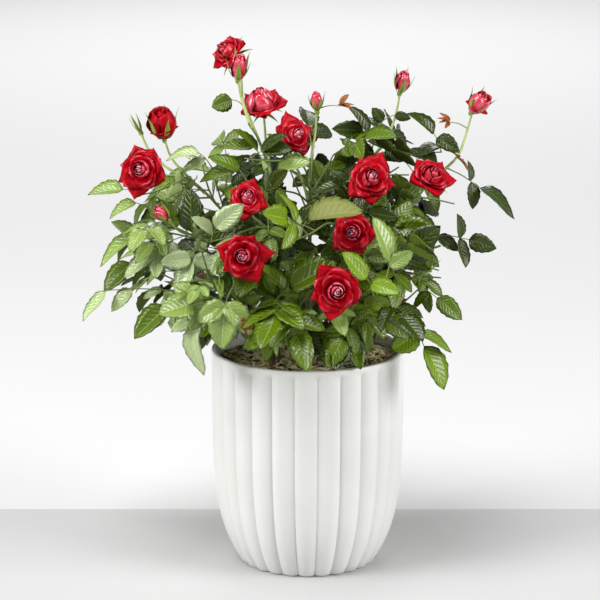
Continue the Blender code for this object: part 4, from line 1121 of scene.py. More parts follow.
def shape_spray(p, way, turn, rng, at_end, five):
    """One leaf: a drooping stalk with three or five blades, as (root, lead, normal, length, width)."""
    side = side_of(way, turn)
    low = limited((0.30 - p.z) / 0.12)
    there = side * 0.25 + way * 0.9 if at_end else side * 0.85 + way * 0.4
    there = ((there + outward(p) * 0.45 + UP * 0.1).normalized() + shaken(rng, 0.2)).normalized()
    near_front = limited(-p.y / FRONT_DEPTH) * max(1 - abs(p.x) / FRONT_HALF_WIDTH, 0)
    reach = rng.uniform(*LEAF_STALK)
    size = LEAF_LENGTH * rng.uniform(0.80, 1.10) * (0.90 + 0.14 * low) * (1 + FRONT_GROWTH * near_front)
    sag = rng.uniform(0.10, 0.30) + 0.35 * low
    normal = to_light(p) + shaken(rng, 0.35)
    stalk = [p + there * reach * s - UP * sag * reach * s * s for s in (0, 0.5, 1)]
    pairs = PAIRS_OF_FIVE if five else PAIRS_OF_THREE
    places = [(share, hand, scale) for share, scale in pairs for hand in (-1, 1)] + [END_BLADE]
    blades = []
    for share, hand, scale in places:
        root, stalk_way = along(stalk, share)
        face = (normal - stalk_way * normal.dot(stalk_way)).normalized()
        angle = hand * math.radians(rng.uniform(*PAIR_ANGLE)) + rng.uniform(-0.12, 0.12)
        lead = Matrix.Rotation(angle, 3, face) @ stalk_way
        lead = (lead - UP * rng.uniform(0, 0.20 + 0.20 * low)).normalized()
        face = Matrix.Rotation(-hand * math.radians(rng.uniform(2, 20)), 3, stalk_way) @ face
        face = (face - lead * face.dot(lead)).normalized()
        root = root + stalk_way * hand * PAIR_OFFSET
        length = size * scale
        blades.append((root, lead, face, length, length * LEAF_WIDTH * rng.uniform(0.92, 1.08)))
    return stalk, blades


def off_flowers(points):
    """No blade lies on a flower."""
    gaps = [
        np.linalg.norm(points - np.array(place) * MM, axis=1).min() - width * MM / 2
        for _, place, width, _, _, _ in FLOWERS.values()
    ]
    return min(gaps) > LEAF_TO_FLOWER


def misses_flowers(points):
    """No blade lies close before a flower, or between it and someone in front of the plant."""
    for _, place, width, _, azimuth, height in FLOWERS.values():
        away = points - np.array(place) * MM
        radius = width * MM / 2
        before = (np.array(facing(azimuth, height)), BEFORE_FLOWER)
        in_view = (SEEN_FROM, 0 if place[1] * MM > BEHIND_MIDDLE else CROWN_DEPTH)
        for way, depth in (before, in_view):
            ahead = away @ way
            aside = np.linalg.norm(away - ahead[:, None] * way, axis=1)
            if ((ahead > 0) & (ahead < depth) & (aside < radius * 0.9)).any():
                return False
    return True


def misses_plant(name, p, stalk, blades, points, wood, sprays):
    """No blade or stalk touches a limb, a twig or another spray. One that fits is added to the sprays."""
    middle = Vector(points.mean(axis=0))
    radius = max((Vector(q) - middle).length for q in points) + 4 * MM
    tree = roomy_blades(blades)
    beads = dotted(stalk, 2 * DOT_SPACING)[2:]
    for q, i, _ in wood["tree"].find_range(middle, radius):
        owner, thick = wood["owners"][i]
        own = owner == name
        if own and (q - p).length < OWN_ROOT:
            continue
        if tree.find_nearest(q)[3] < thick + (BLADE_TO_OWN_TWIG if own else BLADE_TO_WOOD):
            return False
        if not own and min((q - bead).length for bead in beads) < thick + STALK_TO_WOOD:
            return False
    for other_middle, other_radius, other_tree, other_beads in sprays:
        if (other_middle - middle).length > radius + other_radius:
            continue
        if tree.overlap(other_tree):
            return False
        if min(other_tree.find_nearest(q)[3] for q in beads) < STALK_TO_BLADE:
            return False
        if min(tree.find_nearest(q)[3] for q in other_beads) < STALK_TO_BLADE:
            return False
    sprays.append((middle, radius, tree, beads))
    return True


def dot_wood(bare, twigs):
    """Every limb and twig as closely set dots, with the cane that each belongs to and its radius."""
    dots = [(q, "", CANE_ROOM) for line in bare.values() for q in dotted(line, DOT_SPACING)]
    for name in CANES:
        for line, radius, _, _ in twigs[name]:
            dots += [(q, name, radius) for q in dotted(line, DOT_SPACING)]
    tree = KDTree(len(dots))
    for i, (q, _, _) in enumerate(dots):
        tree.insert(q, i)
    tree.balance()
    return {"tree": tree, "owners": [(owner, thick) for _, owner, thick in dots]}


def blade_points(stalk, blades):
    return np.array([q for blade in blades for q in blade_places(*blade)] + stalk[1:])


def shown_blade(root, tip, looks_wide):
    """A blade from its root to its tip, turned about its rib until it looks this wide from the front."""
    lead = (tip - root).normalized()
    length = (tip - root).length
    width = max(length * LEAF_WIDTH, looks_wide)
    toward = (EYE - root).normalized()
    face = (toward - lead * toward.dot(lead)).normalized()
    turn = math.acos(looks_wide / width)
    faces = [Matrix.Rotation(turn * hand, 3, lead) @ face for hand in (-1, 1)]
    return root, lead, max(faces, key=lambda way: way.z), length, width


def fits_crown(points):
    """Whether a spray of the rule's own keeps off the pot, the gaps and the flowers."""
    free = clear_of_pot(points) and inside_outline(points)
    return free and off_flowers(points) and misses_flowers(points)


def place_shown_leaves(twigs, wood, leaves, sprays, own_colours):
    """The listed leaves, each at the first of its depths where it touches nothing."""
    for name, colour, _, start, end, shown in SHOWN_LEAVES.values():
        ends = [line[-1] for line, _, _, _ in twigs[name]]
        p = min(ends, key=lambda q: (q - placed_at(*start, q.y)).length)
        for step in DEPTH_STEPS:
            depth = p.y + step * MM
            stalk_end = placed_at(*end, depth)
            stalk = [p, p.lerp(stalk_end, 0.5) + UP * STALK_ARCH, stalk_end]
            blades = []
            for i, (share, tip, width) in enumerate(shown):
                tip = placed_at(*tip, depth - TIP_FORWARD * (i + 1))
                blades.append(shown_blade(along(stalk, share)[0], tip, width * MM))
            points = blade_points(stalk, blades)
            free = (stalk_end - stalk[1]).normalized().dot(blades[-1][1]) > SHARPEST_TURN
            free = free and off_flowers(points)
            if free and misses_plant(name, p, stalk, blades, points, wood, sprays):
                leaves[name].append((stalk, blades))
                own_colours[tuple(stalk_end)] = colour
                break


def grow_leaves(wood, twigs, sprays, own_colours):
    """Each cane's sprays: leaves at even spacing up its twigs, left out where none of the tries fits."""
    leaves = {name: [] for name in CANES}
    place_shown_leaves(twigs, wood, leaves, sprays, own_colours)
    for name in CANES:
        rng = random.Random(name + " leaves")
        turn = rng.uniform(0, math.tau)
        for line, _, first, last in twigs[name]:
            count = int((last - first) * length_of(line) / NODE_SPACING + 0.3)
            for j in range(count + 1):
                turn += GOLDEN_ANGLE
                p, way = along(line, last - (last - first) * (count - j) / max(count, 1))
                for attempt in range(TRIES):
                    five = rng.random() < FIVES and attempt < TRIES - 1
                    at_end = j == count and last == 1.0
                    stalk, blades = shape_spray(p, way, turn + attempt * TRY_TURN, rng, at_end, five)
                    points = blade_points(stalk, blades)
                    if fits_crown(points) and misses_plant(name, p, stalk, blades, points, wood, sprays):
                        leaves[name].append((stalk, blades))
                        break
    return leaves


def smaller(stalk, blades, share):
    """The same spray drawn in towards the foot of its stalk."""
    foot = stalk[0]
    stalk = [foot + (q - foot) * share for q in stalk]
    blades = [
        (foot + (root - foot) * share, lead, face, length * share, width * share)
        for root, lead, face, length, width in blades
    ]
    return stalk, blades


def fullness_at(p):
    """How closely the finer leaves stand: close low in the middle, and open above and to the sides."""
    aside = limited((abs(p.x) - 0.055) / 0.05)
    above = limited((p.z - 0.245) / 0.05)
    return (1 - (0.7 if p.x < 0 else 0.4) * aside) * (1 - 0.40 * above)


def grow_finer_leaves(wood, twigs, sprays):
    """More leaves between the first ones, smaller with each pass, in what room is left inside each mass."""
    leaves = {name: [] for name in CANES}
    for step, (spacing, share) in enumerate(FINER_PASSES):
        for name in CANES:
            rng = random.Random(f"{name} finer leaves {step}")
            turn = rng.uniform(0, math.tau)
            low, high = (np.array(corner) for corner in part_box("foliage_" + name))
            for line, _, first, last in twigs[name]:
                first = max(first - 0.1, 0.06)
                count = max(1, int((last - first) * length_of(line) / spacing))
                for j in range(count):
                    turn += GOLDEN_ANGLE
                    p, way = along(line, first + (last - first) * (j + rng.uniform(0.2, 0.8)) / count)
                    if rng.random() > fullness_at(p):
                        continue
                    for attempt in range(FINER_TRIES):
                        five = rng.random() < FINER_FIVES
                        round_twig = turn + attempt * FINER_TRY_TURN
                        stalk, blades = shape_spray(p, way, round_twig, rng, False, five)
                        stalk, blades = smaller(stalk, blades, share * rng.uniform(0.85, 1.1))
                        points = blade_points(stalk, blades)
                        free = (points > low).all() and (points < high).all() and fits_crown(points)
                        if free and misses_plant(name, p, stalk, blades, points, wood, sprays):
                            leaves[name].append((stalk, blades))
                            break
    return leaves


wood = dot_wood(bare, twigs)
sprays = []
own_colours = {}
leaves = grow_leaves(wood, twigs, sprays, own_colours)
finer_leaves = grow_finer_leaves(wood, twigs, sprays)


def half_width(share):
    """Half the width of a blade at a share of its length, as a share of its full width."""
    return 0.5 * share**0.56 * (1 - share) ** 0.80 / (0.41**0.56 * 0.59**0.80)


# places of the six lines of vertices along a blade, from edge to edge
BLADE_LINES = (-1, -0.55, -0.04, 0.04, 0.55, 1)
BLADE_SHAPE_COUNT = 8
# how far the teeth stand out, as a share of half the width, and how high the blade puckers for its length
TOOTH = 0.05
PUCKER = 0.006
# side veins to each side of the rib, how far they slant back by the edge, and their depth
SIDE_VEINS = 8
VEIN_SLANT = -0.62
VEIN_DEPTH = 0.35 * MM


def blade_shape(rng):
    """A blade as long and as wide as 1, from its root along X: a toothed outline, closed above and below."""
    fold = rng.uniform(0.10, 0.34)
    droop = rng.uniform(0.04, 0.22)
    twist = rng.uniform(-0.25, 0.25)
    bow = rng.uniform(-0.05, 0.05)
    bm = bmesh.new()
    bmesh.ops.create_grid(bm, x_segments=LEAF_ROWS, y_segments=5, size=0.5)
    uv = bm.loops.layers.uv.new("UVMap")
    for vert in bm.verts:
        vert.co.x += 0.5
        vert.co.y = BLADE_LINES[round((vert.co.y + 0.5) * 5)] / 2
    for face in bm.faces:
        face.material_index = 1 if abs(face.calc_center_median().y) < 0.02 else 0
        for loop in face.loops:
            loop[uv].uv = (loop.vert.co.x, loop.vert.co.y + 0.5)
    copy = bmesh.ops.duplicate(bm, geom=bm.verts[:] + bm.edges[:] + bm.faces[:])["geom"]
    below = set(vert for vert in copy if isinstance(vert, bmesh.types.BMVert))
    under_faces = faces_among(copy)
    bmesh.ops.reverse_faces(bm, faces=under_faces)
    for face in under_faces:
        face.material_index = 2
    for vert in bm.verts:
        share, line = vert.co.x, vert.co.y * 2
        row = round(share * LEAF_ROWS)
        half = half_width(limited(share)) if 0 < row < LEAF_ROWS else 0
        edge = abs(line) > 0.99
        if edge:
            half *= 1 + TOOTH * (-1) ** row
        height = abs(line) * half * fold - droop * share**2
        height += PUCKER * (-1) ** row * (0.3 < abs(line) < 0.8)
        height += line * half * twist * share + bow * math.sin(share * 5)
        if vert in below and not edge and half:
            height -= BLADE_THICKNESS
        vert.co = (share, line * half, height)
    bmesh.ops.remove_doubles(bm, verts=bm.verts, dist=1e-5)
    bmesh.ops.triangulate(bm, faces=bm.faces)
    shape = arrays_of(bm)
    bm.free()
    return shape


def leaf_material(name, colour, roughness, shine):
    """Leaf skin with slanting side veins pressed in along its own UV map, and a fine grain."""
    material, shader = plain_material(name, colour, roughness)
    shader.inputs["Specular IOR Level"].default_value = shine
    place = new_node(material, "ShaderNodeUVMap", uv_map="UVMap")
    parts = new_node(material, "ShaderNodeSeparateXYZ")
    link(material, place.outputs["UV"], parts.inputs["Vector"])
    side = worked_out(material, "ABSOLUTE", worked_out(material, "SUBTRACT", parts.outputs["Y"], 0.5))
    slanted = worked_out(material, "MULTIPLY_ADD", side, VEIN_SLANT, parts.outputs["X"])
    swing = worked_out(material, "COSINE", worked_out(material, "MULTIPLY", slanted, math.tau * SIDE_VEINS))
    raised = worked_out(material, "MULTIPLY_ADD", swing, 0.5, 0.5)
    vein = worked_out(material, "POWER", raised, 4)
    depth = worked_out(material, "MULTIPLY_ADD", vein, -1, speckle(material, 1.5 * MM, 3))
    raise_by(material, shader, depth, VEIN_DEPTH, 0.65)
    return material


# young bronze sprays: where their tips look to be against the middle, across and up, and how far back, in mm
YOUNG_SPRAYS = ((26, 374, -4), (112, 361, 8), (119, 332, -6), (-55, 196, -96), (-91, 223, -66))
# angles in degrees that the blades of a young spray stand at, and how wide each is as a share of its length
YOUNG_ANGLES = (-64, -20, 24, 66)
YOUNG_WIDTH = 0.42
# upper skin, middle rib and underside of the blades of each colour, and the upper skin's roughness and shine
# the palest upper skins hold painted light and painted sheen, and the deepest hold painted shade
LEAF_COLOURS = {
    "pale": ((0.36, 0.465, 0.190), (0.52, 0.61, 0.32), (0.40, 0.48, 0.22), 0.19, 0.8),
    "light": ((0.225, 0.33, 0.065), (0.38, 0.48, 0.17), (0.32, 0.41, 0.15), 0.20, 0.7),
    "fresh": ((0.150, 0.25, 0.003), (0.25, 0.36, 0.04), (0.22, 0.31, 0.05), 0.22, 0.5),
    "middle": ((0.084, 0.142, 0.001), (0.16, 0.24, 0.02), (0.13, 0.19, 0.02), 0.17, 0.52),
    "deep": ((0.027, 0.048, 0.0003), (0.080, 0.115, 0.006), (0.058, 0.082, 0.008), 0.17, 0.50),
    "sheen_pale": ((0.36, 0.46, 0.21), (0.46, 0.56, 0.28), (0.38, 0.46, 0.22), 0.20, 0.9),
    "khaki": ((0.19, 0.21, 0.05), (0.24, 0.23, 0.08), (0.20, 0.22, 0.06), 0.45, 0.25),
    "bronze": ((0.30, 0.085, 0.010), (0.38, 0.14, 0.03), (0.32, 0.10, 0.03), 0.30, 0.4),
}
leaf_rng = random.Random("blades")
blade_shapes = [blade_shape(leaf_rng) for _ in range(BLADE_SHAPE_COUNT)]


def placed_blade(shape, blade):
    """A blade's shape laid along its lead with its upper side to its face."""
    root, lead, face, length, width = blade
    across = face.cross(lead)
    axes = np.array([lead * length, across * width, face * length])
    return shape, shape["verts"] @ axes + np.array(root)


def tone_by_light_and_shade(p, rng):
    """How light a spray is: paler at the left and low in front, as painted light and painted sheen, and deep
    at the right and the back, as painted shade, with the tone picked at random within these leanings.
    """
    right = limited((p.x + 0.075) / 0.08)
    behind = limited((p.y + 0.06) / 0.06)
    low = limited((0.27 - p.z) / 0.06)
    # painted light: the paler colours weigh more at the left and low in front; painted shade: deep weighs
    # more at the right and behind, inside the crown
    weights = (
        (1 - right) * (1.2 - behind) * 2.0,
        (1 - right) * 1.9 + low * (1 - behind) * 0.5,
        0.3 * (1 - right) + low * (1 - behind) * 1.3,
        0.7 + right * 0.9,
        0.3 + right * 1.8 + behind * 1.6,
    )
    return rng.choices(("pale", "light", "fresh", "middle", "deep"), weights=weights)[0]


coloured = {colour: [] for colour in LEAF_COLOURS}
stalk_lines = []
for name in CANES:
    fine_dots = [q for line in fine_lines[name] for q in dotted(line, 0.5 * MM)]
    for stalk, blades in leaves[name] + finer_leaves[name]:
        colour = tone_by_light_and_shade(stalk[2], leaf_rng)
        colour = own_colours.get(tuple(stalk[2]), colour)
        coloured[colour] += [placed_blade(leaf_rng.choice(blade_shapes), blade) for blade in blades]
        foot = min(fine_dots, key=lambda q: (q - stalk[0]).length)
        fine = smoothed([foot, stalk[1], stalk[2]], 3)
        radii = [STALK_THICKNESS * (1 - 0.35 * i / (len(fine) - 1)) for i in range(len(fine))]
        radii[0] = STALK_THICKNESS * STALK_FOOT
        stalk_lines.append((fine, radii))

young_rng = random.Random("young sprays")
near_dots = [q for name in CANES for line in fine_lines[name] for q in dotted(line, 1 * MM)]
for across, height, depth in YOUNG_SPRAYS:
    tip = placed_at(across, height, depth * MM)
    foot = min(near_dots, key=lambda q: (q - tip).length)
    way = (tip - foot).normalized()
    line = smoothed([foot, (foot + tip) / 2 + UP * 1.5 * MM, tip], 3)
    stalk_lines.append((line, [STALK_THICKNESS * (1 - 0.4 * i / (len(line) - 1)) for i in range(len(line))]))
    for angle in YOUNG_ANGLES:
        face = to_light(tip) + shaken(young_rng, 0.5)
        face = (face - way * face.dot(way)).normalized()
        lead = Matrix.Rotation(math.radians(angle + young_rng.uniform(-12, 12)), 3, face) @ way
        length = young_rng.uniform(8, 13) * MM
        blade = (tip, lead, face, length, length * YOUNG_WIDTH)
        coloured["bronze"].append(placed_blade(young_rng.choice(blade_shapes), blade))

for colour, parts in coloured.items():
    upper, rib, under, roughness, shine = LEAF_COLOURS[colour]
    finishes = [
        leaf_material(colour + "_leaf", upper, roughness, shine),
        leaf_material(colour + "_rib", rib, 0.5, shine),
        leaf_material(colour + "_underside", under, 0.62, 0.2),
    ]
    piece = joined_piece(colour + "_leaves", parts, finishes)
    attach(piece, "root")
    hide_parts(*["foliage_" + cane for cane in CANES])

leaf_stalk_skin = stem_bark("leaf_stalk_skin", *LEAF_STALK_COLOURS)
piece = finished_piece("leaf_stalks", tube_bmesh(stalk_lines, 0), [leaf_stalk_skin], sharp_from=80)
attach(piece, "root")
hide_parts(*["foliage_" + cane for cane in CANES])

# Blooms and buds
# A bloom has a spiral of overlapping petals at its middle, in most opened round a heart whose pale
# pink is a painted highlight, and wide outer petals that roll back to points. Petals are velvety, deep
# red inside and pinker outside, and the furled middle's pink is partly a painted highlight. A bud is the
# furled middle alone.

PETAL_ROWS = 7
PETAL_COLUMNS = 6
# shares of a petal's or a sepal's length at which its bend is worked out
STATIONS = np.linspace(0, 1, 33)
# how open a flower is before it shows any petals, before it spreads the outer ones, and before it is a bloom
SHOWS_PETALS = 0.05
SPREADS_PETALS = 0.3
IS_BLOOM = 0.5
# whorls of a full bloom's open petals from the outside in: petals, how far they lean out, and rank
WHORLS = ((5, 1.0, 1.0), (5, 0.62, 0.45), (4, 0.34, 0.2))
# furled petals of an opened middle, a tight one and a bud: how many, and how much more open and how much
# lower the outermost is than the first
FURLED = {"opened": (9, 0.24, 0.34), "tight": (9, 0.05, 0.12), "bud": (8, 0.18, 0.06)}
# radius of a bloom's furled middle as a share of its width, and of the few that are wider
MIDDLE_SHARE = 0.185
OWN_MIDDLES = {"pink_bloom": 0.30, "top_bloom": 0.24, "side_bloom": 0.22}
# a furled middle of a smaller share than this has opened, and shows this many pale pink petals at its heart,
# a painted highlight
OPEN_MIDDLE = 0.25
HEART_PETALS = 5
# half-open flowers that are deep red all over
DEEP_BUDS = ("left_half_open",)
# blooms whose furled middle is as deep as their open petals
CRIMSON_BLOOMS = ("top_bloom", "side_bloom")
# how wide the petals together reach for a flower's width, and the most that they are spread to reach it
FULL_REACH = 1.18
MOST_SPREAD = 1.3
FURLED_THICKNESS = 0.22 * MM
OPEN_THICKNESS = 0.25 * MM
# the deeper and the paler parts of the skin, and its roughness and shine. The heart petals' pale pink is a
# painted highlight, and the furled petals' pink is partly their own pinker backs and partly a painted
# highlight
PETAL_COLOURS = {
    "petal_face": ((0.25, 0.0002, 0.004), (0.46, 0.0005, 0.009), 0.34, 0.10),
    "petal_back": ((0.38, 0.002, 0.012), (0.64, 0.040, 0.072), 0.30, 0.4),
    "furled_petal": ((0.46, 0.004, 0.022), (0.74, 0.075, 0.130), 0.22, 0.9),
    "heart_petal": ((0.74, 0.070, 0.130), (0.88, 0.360, 0.440), 0.20, 1.0),
}
# each piece's skin outside and inside
PETAL_SKINS = {
    "furled_petals": ("furled_petal", "petal_face"),
    "heart_petals": ("heart_petal", "petal_face"),
    "open_petals": ("petal_back", "petal_face"),
    "deep_petals": ("petal_face", "petal_face"),
}


def petal_grid(highlit_rim):
    """A closed sheet as grid shares: across from -1 to 1, up from 0 to 1, and 0 or 1 for its two sides."""
    bm = bmesh.new()
    bmesh.ops.create_grid(bm, x_segments=PETAL_COLUMNS, y_segments=PETAL_ROWS, size=0.5)
    for vert in bm.verts:
        vert.co = (vert.co.x * 2, vert.co.y + 0.5, 0)
    copy = bmesh.ops.duplicate(bm, geom=bm.verts[:] + bm.edges[:] + bm.faces[:])["geom"]
    far_side = faces_among(copy)
    bmesh.ops.reverse_faces(bm, faces=far_side)
    # in a rimmed petal, the far side's top row takes the outer skin's pinker colour: a painted highlight
    # along the rim
    for face in far_side:
        face.material_index = 0 if highlit_rim and face.calc_center_median().y > 1 - 1 / PETAL_ROWS else 1
    for vert in copy:
        inner = isinstance(vert, bmesh.types.BMVert) and abs(vert.co.x) < 0.99 and 0.01 < vert.co.y < 0.99
        if inner:
            vert.co.z = 1
    bmesh.ops.remove_doubles(bm, verts=bm.verts, dist=1e-5)
    shape = arrays_of(bm)
    bm.free()
    return shape


PETAL = petal_grid(False)
RIMMED_PETAL = petal_grid(True)


def swept(shape, surface, thickness):
    """The petal grid laid on a surface of (across, up), with its far side drawn back by the thickness."""
    across, up, far = shape["verts"].T
    step = 1e-3
    places = surface(across, up)
    along_across = surface(across + step, up) - surface(across - step, up)
    along_up = surface(across, np.minimum(up + step, 1)) - surface(across, np.maximum(up - step, 0))
    normal = np.cross(along_across, along_up)
    normal /= np.linalg.norm(normal, axis=1)[:, None] + 1e-12
    return places - normal * (far * thickness)[:, None]


def laid_round(azimuth, out, sideways, rise):
    """Places about a flower's axis, from how far out, to the side and up each is at an azimuth."""
    x = out * math.cos(azimuth) - sideways * math.sin(azimuth)
    y = out * math.sin(azimuth) + sideways * math.cos(azimuth)
    return np.stack([x, y, rise], axis=1)


def bent_line(start, long, slope):
    """Places out from a flower's axis and up along it, of a line whose slope off the axis is given."""
    steps = len(STATIONS) - 1
    outs = start + long * np.concatenate([[0], np.cumsum(np.sin(slope[:-1]))]) / steps
    ups = long * np.concatenate([[0], np.cumsum(np.cos(slope[:-1]))]) / steps
    return outs, ups


def petal_outline(up, shoulder, roundness, point):
    """Half the width of a petal at a share of its length: narrow root, wide shoulders and a point."""
    rise = 0.30 + 0.70 * np.sin(np.minimum(up / shoulder, 1) * math.pi / 2)
    past = np.clip((up - shoulder) / (1 - shoulder), 0, 1)
    return rise * (1 - past**roundness) ** point


def furled_petal(rng, azimuth, girth, height, closing, flare):
    """A petal wrapped round the middle of a bud. It closes towards its rim, which may flare a little."""
    wrap = rng.uniform(1.15, 1.5)
    lean = rng.uniform(-0.05, 0.05)

    def surface(across, up):
        angle = azimuth + across * wrap * (0.75 + 0.25 * up)
        swell = np.sin(math.pi * (0.16 + closing * up)) ** 0.8
        radius = girth * (swell + flare * np.clip(up - 0.75, 0, 1) ** 2 * 6) * (1 + 0.12 * across)
        level = height * up * (1 - 0.20 * np.abs(across) ** 2 * up + lean * across)
        return np.stack([radius * np.cos(angle), radius * np.sin(angle), level], axis=1)

    return surface


def open_petal(rng, azimuth, radius, lean, rank):
    """A petal of the opened part: rises from the hip, bends outwards and rolls back to a point."""
    start = radius * (0.08 + 0.12 * rank)
    first = math.radians(16 + 26 * lean)
    turn = math.radians(16 + 50 * lean)
    roll = math.radians(10 + 24 * lean * rng.uniform(0.2, 1.6))
    long = radius * (0.70 + 0.46 * lean) * rng.uniform(0.84, 1.16)
    slope = first + turn * STATIONS + roll * np.clip(STATIONS - 0.5, 0, 1) ** 2 / 0.25
    outs, ups = bent_line(start, long, slope)
    half = radius * (0.48 + 0.14 * rank) * rng.uniform(0.88, 1.12)
    curve = radius * (0.36 + 0.75 * lean)
    shoulder = 0.62 - 0.18 * rank
    roundness = 1.7 - 0.65 * rank
    point = 0.55 + 0.45 * rank * rng.uniform(0.85, 1.15)
    side_roll = rng.uniform(0.22, 0.42) * lean
    ripple = rng.uniform(0, math.tau)

    def surface(across, up):
        out = np.interp(up, STATIONS, outs)
        rise = np.interp(up, STATIONS, ups)
        slant = np.interp(up, STATIONS, slope)
        width = half * petal_outline(up, shoulder, roundness, point)
        bent = across * width / curve
        sideways = curve * np.sin(bent)
        lift = curve * (1 - np.cos(bent)) - side_roll * radius * np.abs(across) ** 2.5 * up**1.5
        lift += 0.03 * radius * np.sin(across * 4 + ripple) * up**2
        return laid_round(azimuth, out - lift * np.cos(slant), sideways, rise + lift * np.sin(slant))

    return surface


def bud_girth(width, openness):
    return width / 2 * (0.62 + 0.4 * openness)


def flower_petals(rng, width, openness, middle):
    """All petals of a flower about its own axis, as vertex arrays with the finish that they show most."""
    petals = []
    if openness > IS_BLOOM:
        state = "opened" if middle < OPEN_MIDDLE else "tight"
        girth, height, spread = width * middle, width * (0.50 + 0.65 * middle), 0.25
    else:
        state = "bud"
        girth, height, spread = bud_girth(width, openness), width, openness
    furled, opening, sinking = FURLED[state]
    azimuth = rng.uniform(0, math.tau)
    for i in range(furled):
        rank = (i + 1) / furled
        azimuth += GOLDEN_ANGLE
        size = (girth * (0.14 + 0.86 * rank), height * (1 - sinking * rank))
        surface = furled_petal(rng, azimuth, *size, 0.82 - opening * rank, spread * rank)
        kind = "heart" if state == "opened" and i < HEART_PETALS else "furled"
        petals.append((kind, swept(PETAL, surface, FURLED_THICKNESS)))
    azimuth = rng.uniform(0, math.tau)
    for count, lean, rank in WHORLS if openness > SPREADS_PETALS else ():
        azimuth += math.pi / count
        for i in range(count):
            turn = azimuth + math.tau * i / count + rng.uniform(-0.3, 0.3)
            leaning = lean * openness * rng.uniform(0.72, 1.12)
            surface = open_petal(rng, turn, width / 2, leaning, rank)
            petals.append(("outer" if rank == 1 else "inner", swept(PETAL, surface, OPEN_THICKNESS)))
    reach = max(np.hypot(verts[:, 0], verts[:, 1]).max() for _, verts in petals)
    fit = min(MOST_SPREAD, FULL_REACH * width / 2 / reach) if openness > SPREADS_PETALS else 1
    return [(kind, verts * np.array([fit, fit, 1])) for kind, verts in petals]


def petal_material(name, deep, light, roughness, shine):
    """Velvety petal skin, deeper in places, with a fine grain."""
    material, shader = plain_material(name, light, roughness)
    colour_by(material, shader, speckle(material, 5 * MM, 3), [(0.36, deep), (0.62, light)])
    shader.inputs["Specular IOR Level"].default_value = shine
    raise_by(material, shader, speckle(material, 1.2 * MM, 3), 0.12 * MM, 0.6)
    return material


def flower_axes(name):
    """The matrix from a flower's own axes, its Z along its face, to its place: its base is the origin."""
    *_, azimuth, height = FLOWERS[name]
    face = facing(azimuth, height)
    side = face.cross(UP).normalized()
    up = face.cross(side)
    turn = Matrix((side, up, face)).transposed().to_4x4()
    return Matrix.Translation(flower_bases[name]) @ turn


petal_skins = {name: petal_material(name, *look) for name, look in PETAL_COLOURS.items()}
petal_parts = {name: [] for name in PETAL_SKINS}
for name, (_, _, width, openness, _, _) in FLOWERS.items():
    if openness <= SHOWS_PETALS:
        continue
    flower_rng = random.Random(name + " petals")
    matrix = np.array(flower_axes(name))
    middle = OWN_MIDDLES.get(name, MIDDLE_SHARE)
    for kind, verts in flower_petals(flower_rng, width * MM, openness, middle):
        verts = verts @ matrix[:3, :3].T + matrix[:3, 3]
        if name in DEEP_BUDS:
            petal_parts["deep_petals"].append((PETAL, verts))
        elif kind in ("furled", "heart") and name not in CRIMSON_BLOOMS:
            petal_parts[kind + "_petals"].append((RIMMED_PETAL, verts))
        else:
            petal_parts["open_petals"].append((PETAL if kind == "outer" else RIMMED_PETAL, verts))
for name, skins in PETAL_SKINS.items():
    piece = joined_piece(name, petal_parts[name], [petal_skins[skin] for skin in skins])
    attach(piece, "root")
    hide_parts(*["foliage_" + cane for cane in CANES])

# Hips and sepals
# Under each flower sits a smooth green hip with five narrow pointed sepals, which hold a bud and hang
# back under an open bloom.

SEPAL_COLOUR = (0.24, 0.36, 0.06)
HIP_COLOUR = (0.27, 0.40, 0.08)
# half the width of the hip of a bloom, of a bud, and of a flower that is no wider than this in mm
BLOOM_HIP = 2.6 * MM
BUD_HIP = 2.2 * MM
SMALL_HIP = 2.0 * MM
SMALL_FLOWER = 12
# how long a hip is for its width, and how much of it lies below the flower's foot
HIP_LENGTH = 1.7
HIP_DROP = 0.55
SEPALS = 5
SEPAL_THICKNESS = 0.3 * MM
# length and half width of the sepals of a bloom, and how they stand off its axis at their root, in degrees
BLOOM_SEPAL = 15 * MM
BLOOM_SEPAL_HALF = 1.7 * MM
BLOOM_SEPAL_STAND = 85


def bud_outline(long, girth, openness):
    """Places out from a bud's axis and up along it, just outside its petals and splayed at the tip."""
    swell = np.sin(math.pi * np.clip(0.10 + 0.62 * STATIONS, 0, 0.5)) ** 0.8
    splay = (0.25 + openness) * np.clip(STATIONS - 0.55, 0, 1) ** 1.6 * 2.2
    return girth * (1.12 * swell + splay) + 0.5 * MM, long * STATIONS


def sepal_surface(azimuth, outs, ups, half):
    """A narrow pointed sepal laid along an outline."""

    def surface(across, up):
        width = half * (1 - up**1.3) * (0.75 + 0.5 * np.sin(up * math.pi)) + 0.02 * half
        out = np.interp(up, STATIONS, outs) - 0.3 * width * across**2
        return laid_round(azimuth, out, across * width, np.interp(up, STATIONS, ups))

    return surface


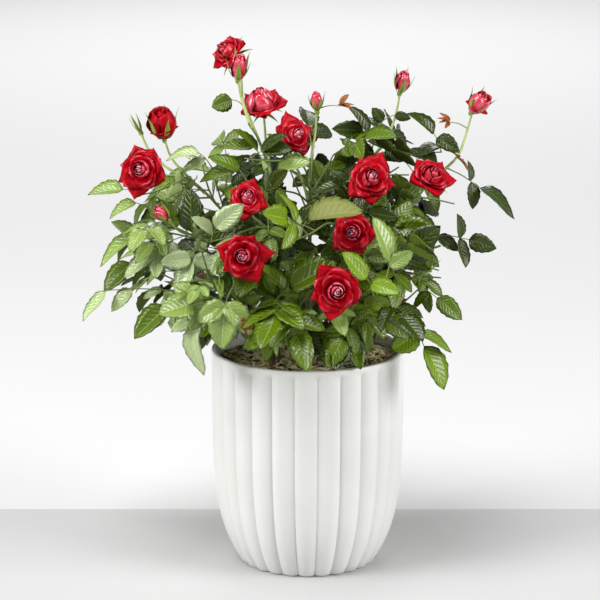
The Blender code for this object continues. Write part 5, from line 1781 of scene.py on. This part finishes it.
sepal_skin = leaf_material("sepal_skin", SEPAL_COLOUR, 0.5, 0.3)
hip_skin, hip_shader = plain_material("hip_skin", HIP_COLOUR, 0.36)
hip_shades = [(0.35, [c * 0.7 for c in HIP_COLOUR]), (0.65, HIP_COLOUR)]
colour_by(hip_skin, hip_shader, speckle(hip_skin, 4 * MM, 3), hip_shades)
sepals = []
hips = bmesh.new()
for name, (_, _, width, openness, _, _) in FLOWERS.items():
    sepal_rng = random.Random(name + " sepals")
    matrix = flower_axes(name)
    turn = np.array(matrix)
    bloom = openness > IS_BLOOM
    girth = SMALL_HIP if width <= SMALL_FLOWER else BLOOM_HIP if bloom else BUD_HIP
    made = bmesh.ops.create_uvsphere(hips, u_segments=14, v_segments=8, radius=1)
    hip_length = girth * HIP_LENGTH
    bmesh.ops.scale(hips, vec=(girth, girth, hip_length), verts=made["verts"])
    bmesh.ops.translate(hips, vec=(0, 0, -hip_length * HIP_DROP), verts=made["verts"])
    bmesh.ops.transform(hips, matrix=matrix, verts=made["verts"])
    for i in range(SEPALS):
        azimuth = math.tau * i / SEPALS + sepal_rng.uniform(-0.2, 0.2)
        if bloom:
            long = BLOOM_SEPAL * sepal_rng.uniform(0.8, 1.2)
            bend = math.radians(sepal_rng.uniform(20, 75))
            slope = math.radians(BLOOM_SEPAL_STAND) + bend * STATIONS**1.5
            outline = bent_line(girth * 0.7, long, slope)
            half = BLOOM_SEPAL_HALF
        else:
            long = width * MM * (0.95 if openness > SHOWS_PETALS else 1.5) * sepal_rng.uniform(0.8, 1.15)
            outline = bud_outline(long, bud_girth(width * MM, openness), openness)
            half = max(1.4 * MM, width * MM * 0.12)
        verts = swept(PETAL, sepal_surface(azimuth, *outline, half), SEPAL_THICKNESS)
        sepals.append((PETAL, verts @ turn[:3, :3].T + turn[:3, 3]))
piece = finished_piece("hips", hips, [hip_skin], sharp_from=60)
sepal_piece = joined_piece("sepals", sepals, [sepal_skin, sepal_skin])
for item in (piece, sepal_piece):
    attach(item, "root")
    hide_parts(*["foliage_" + cane for cane in CANES])
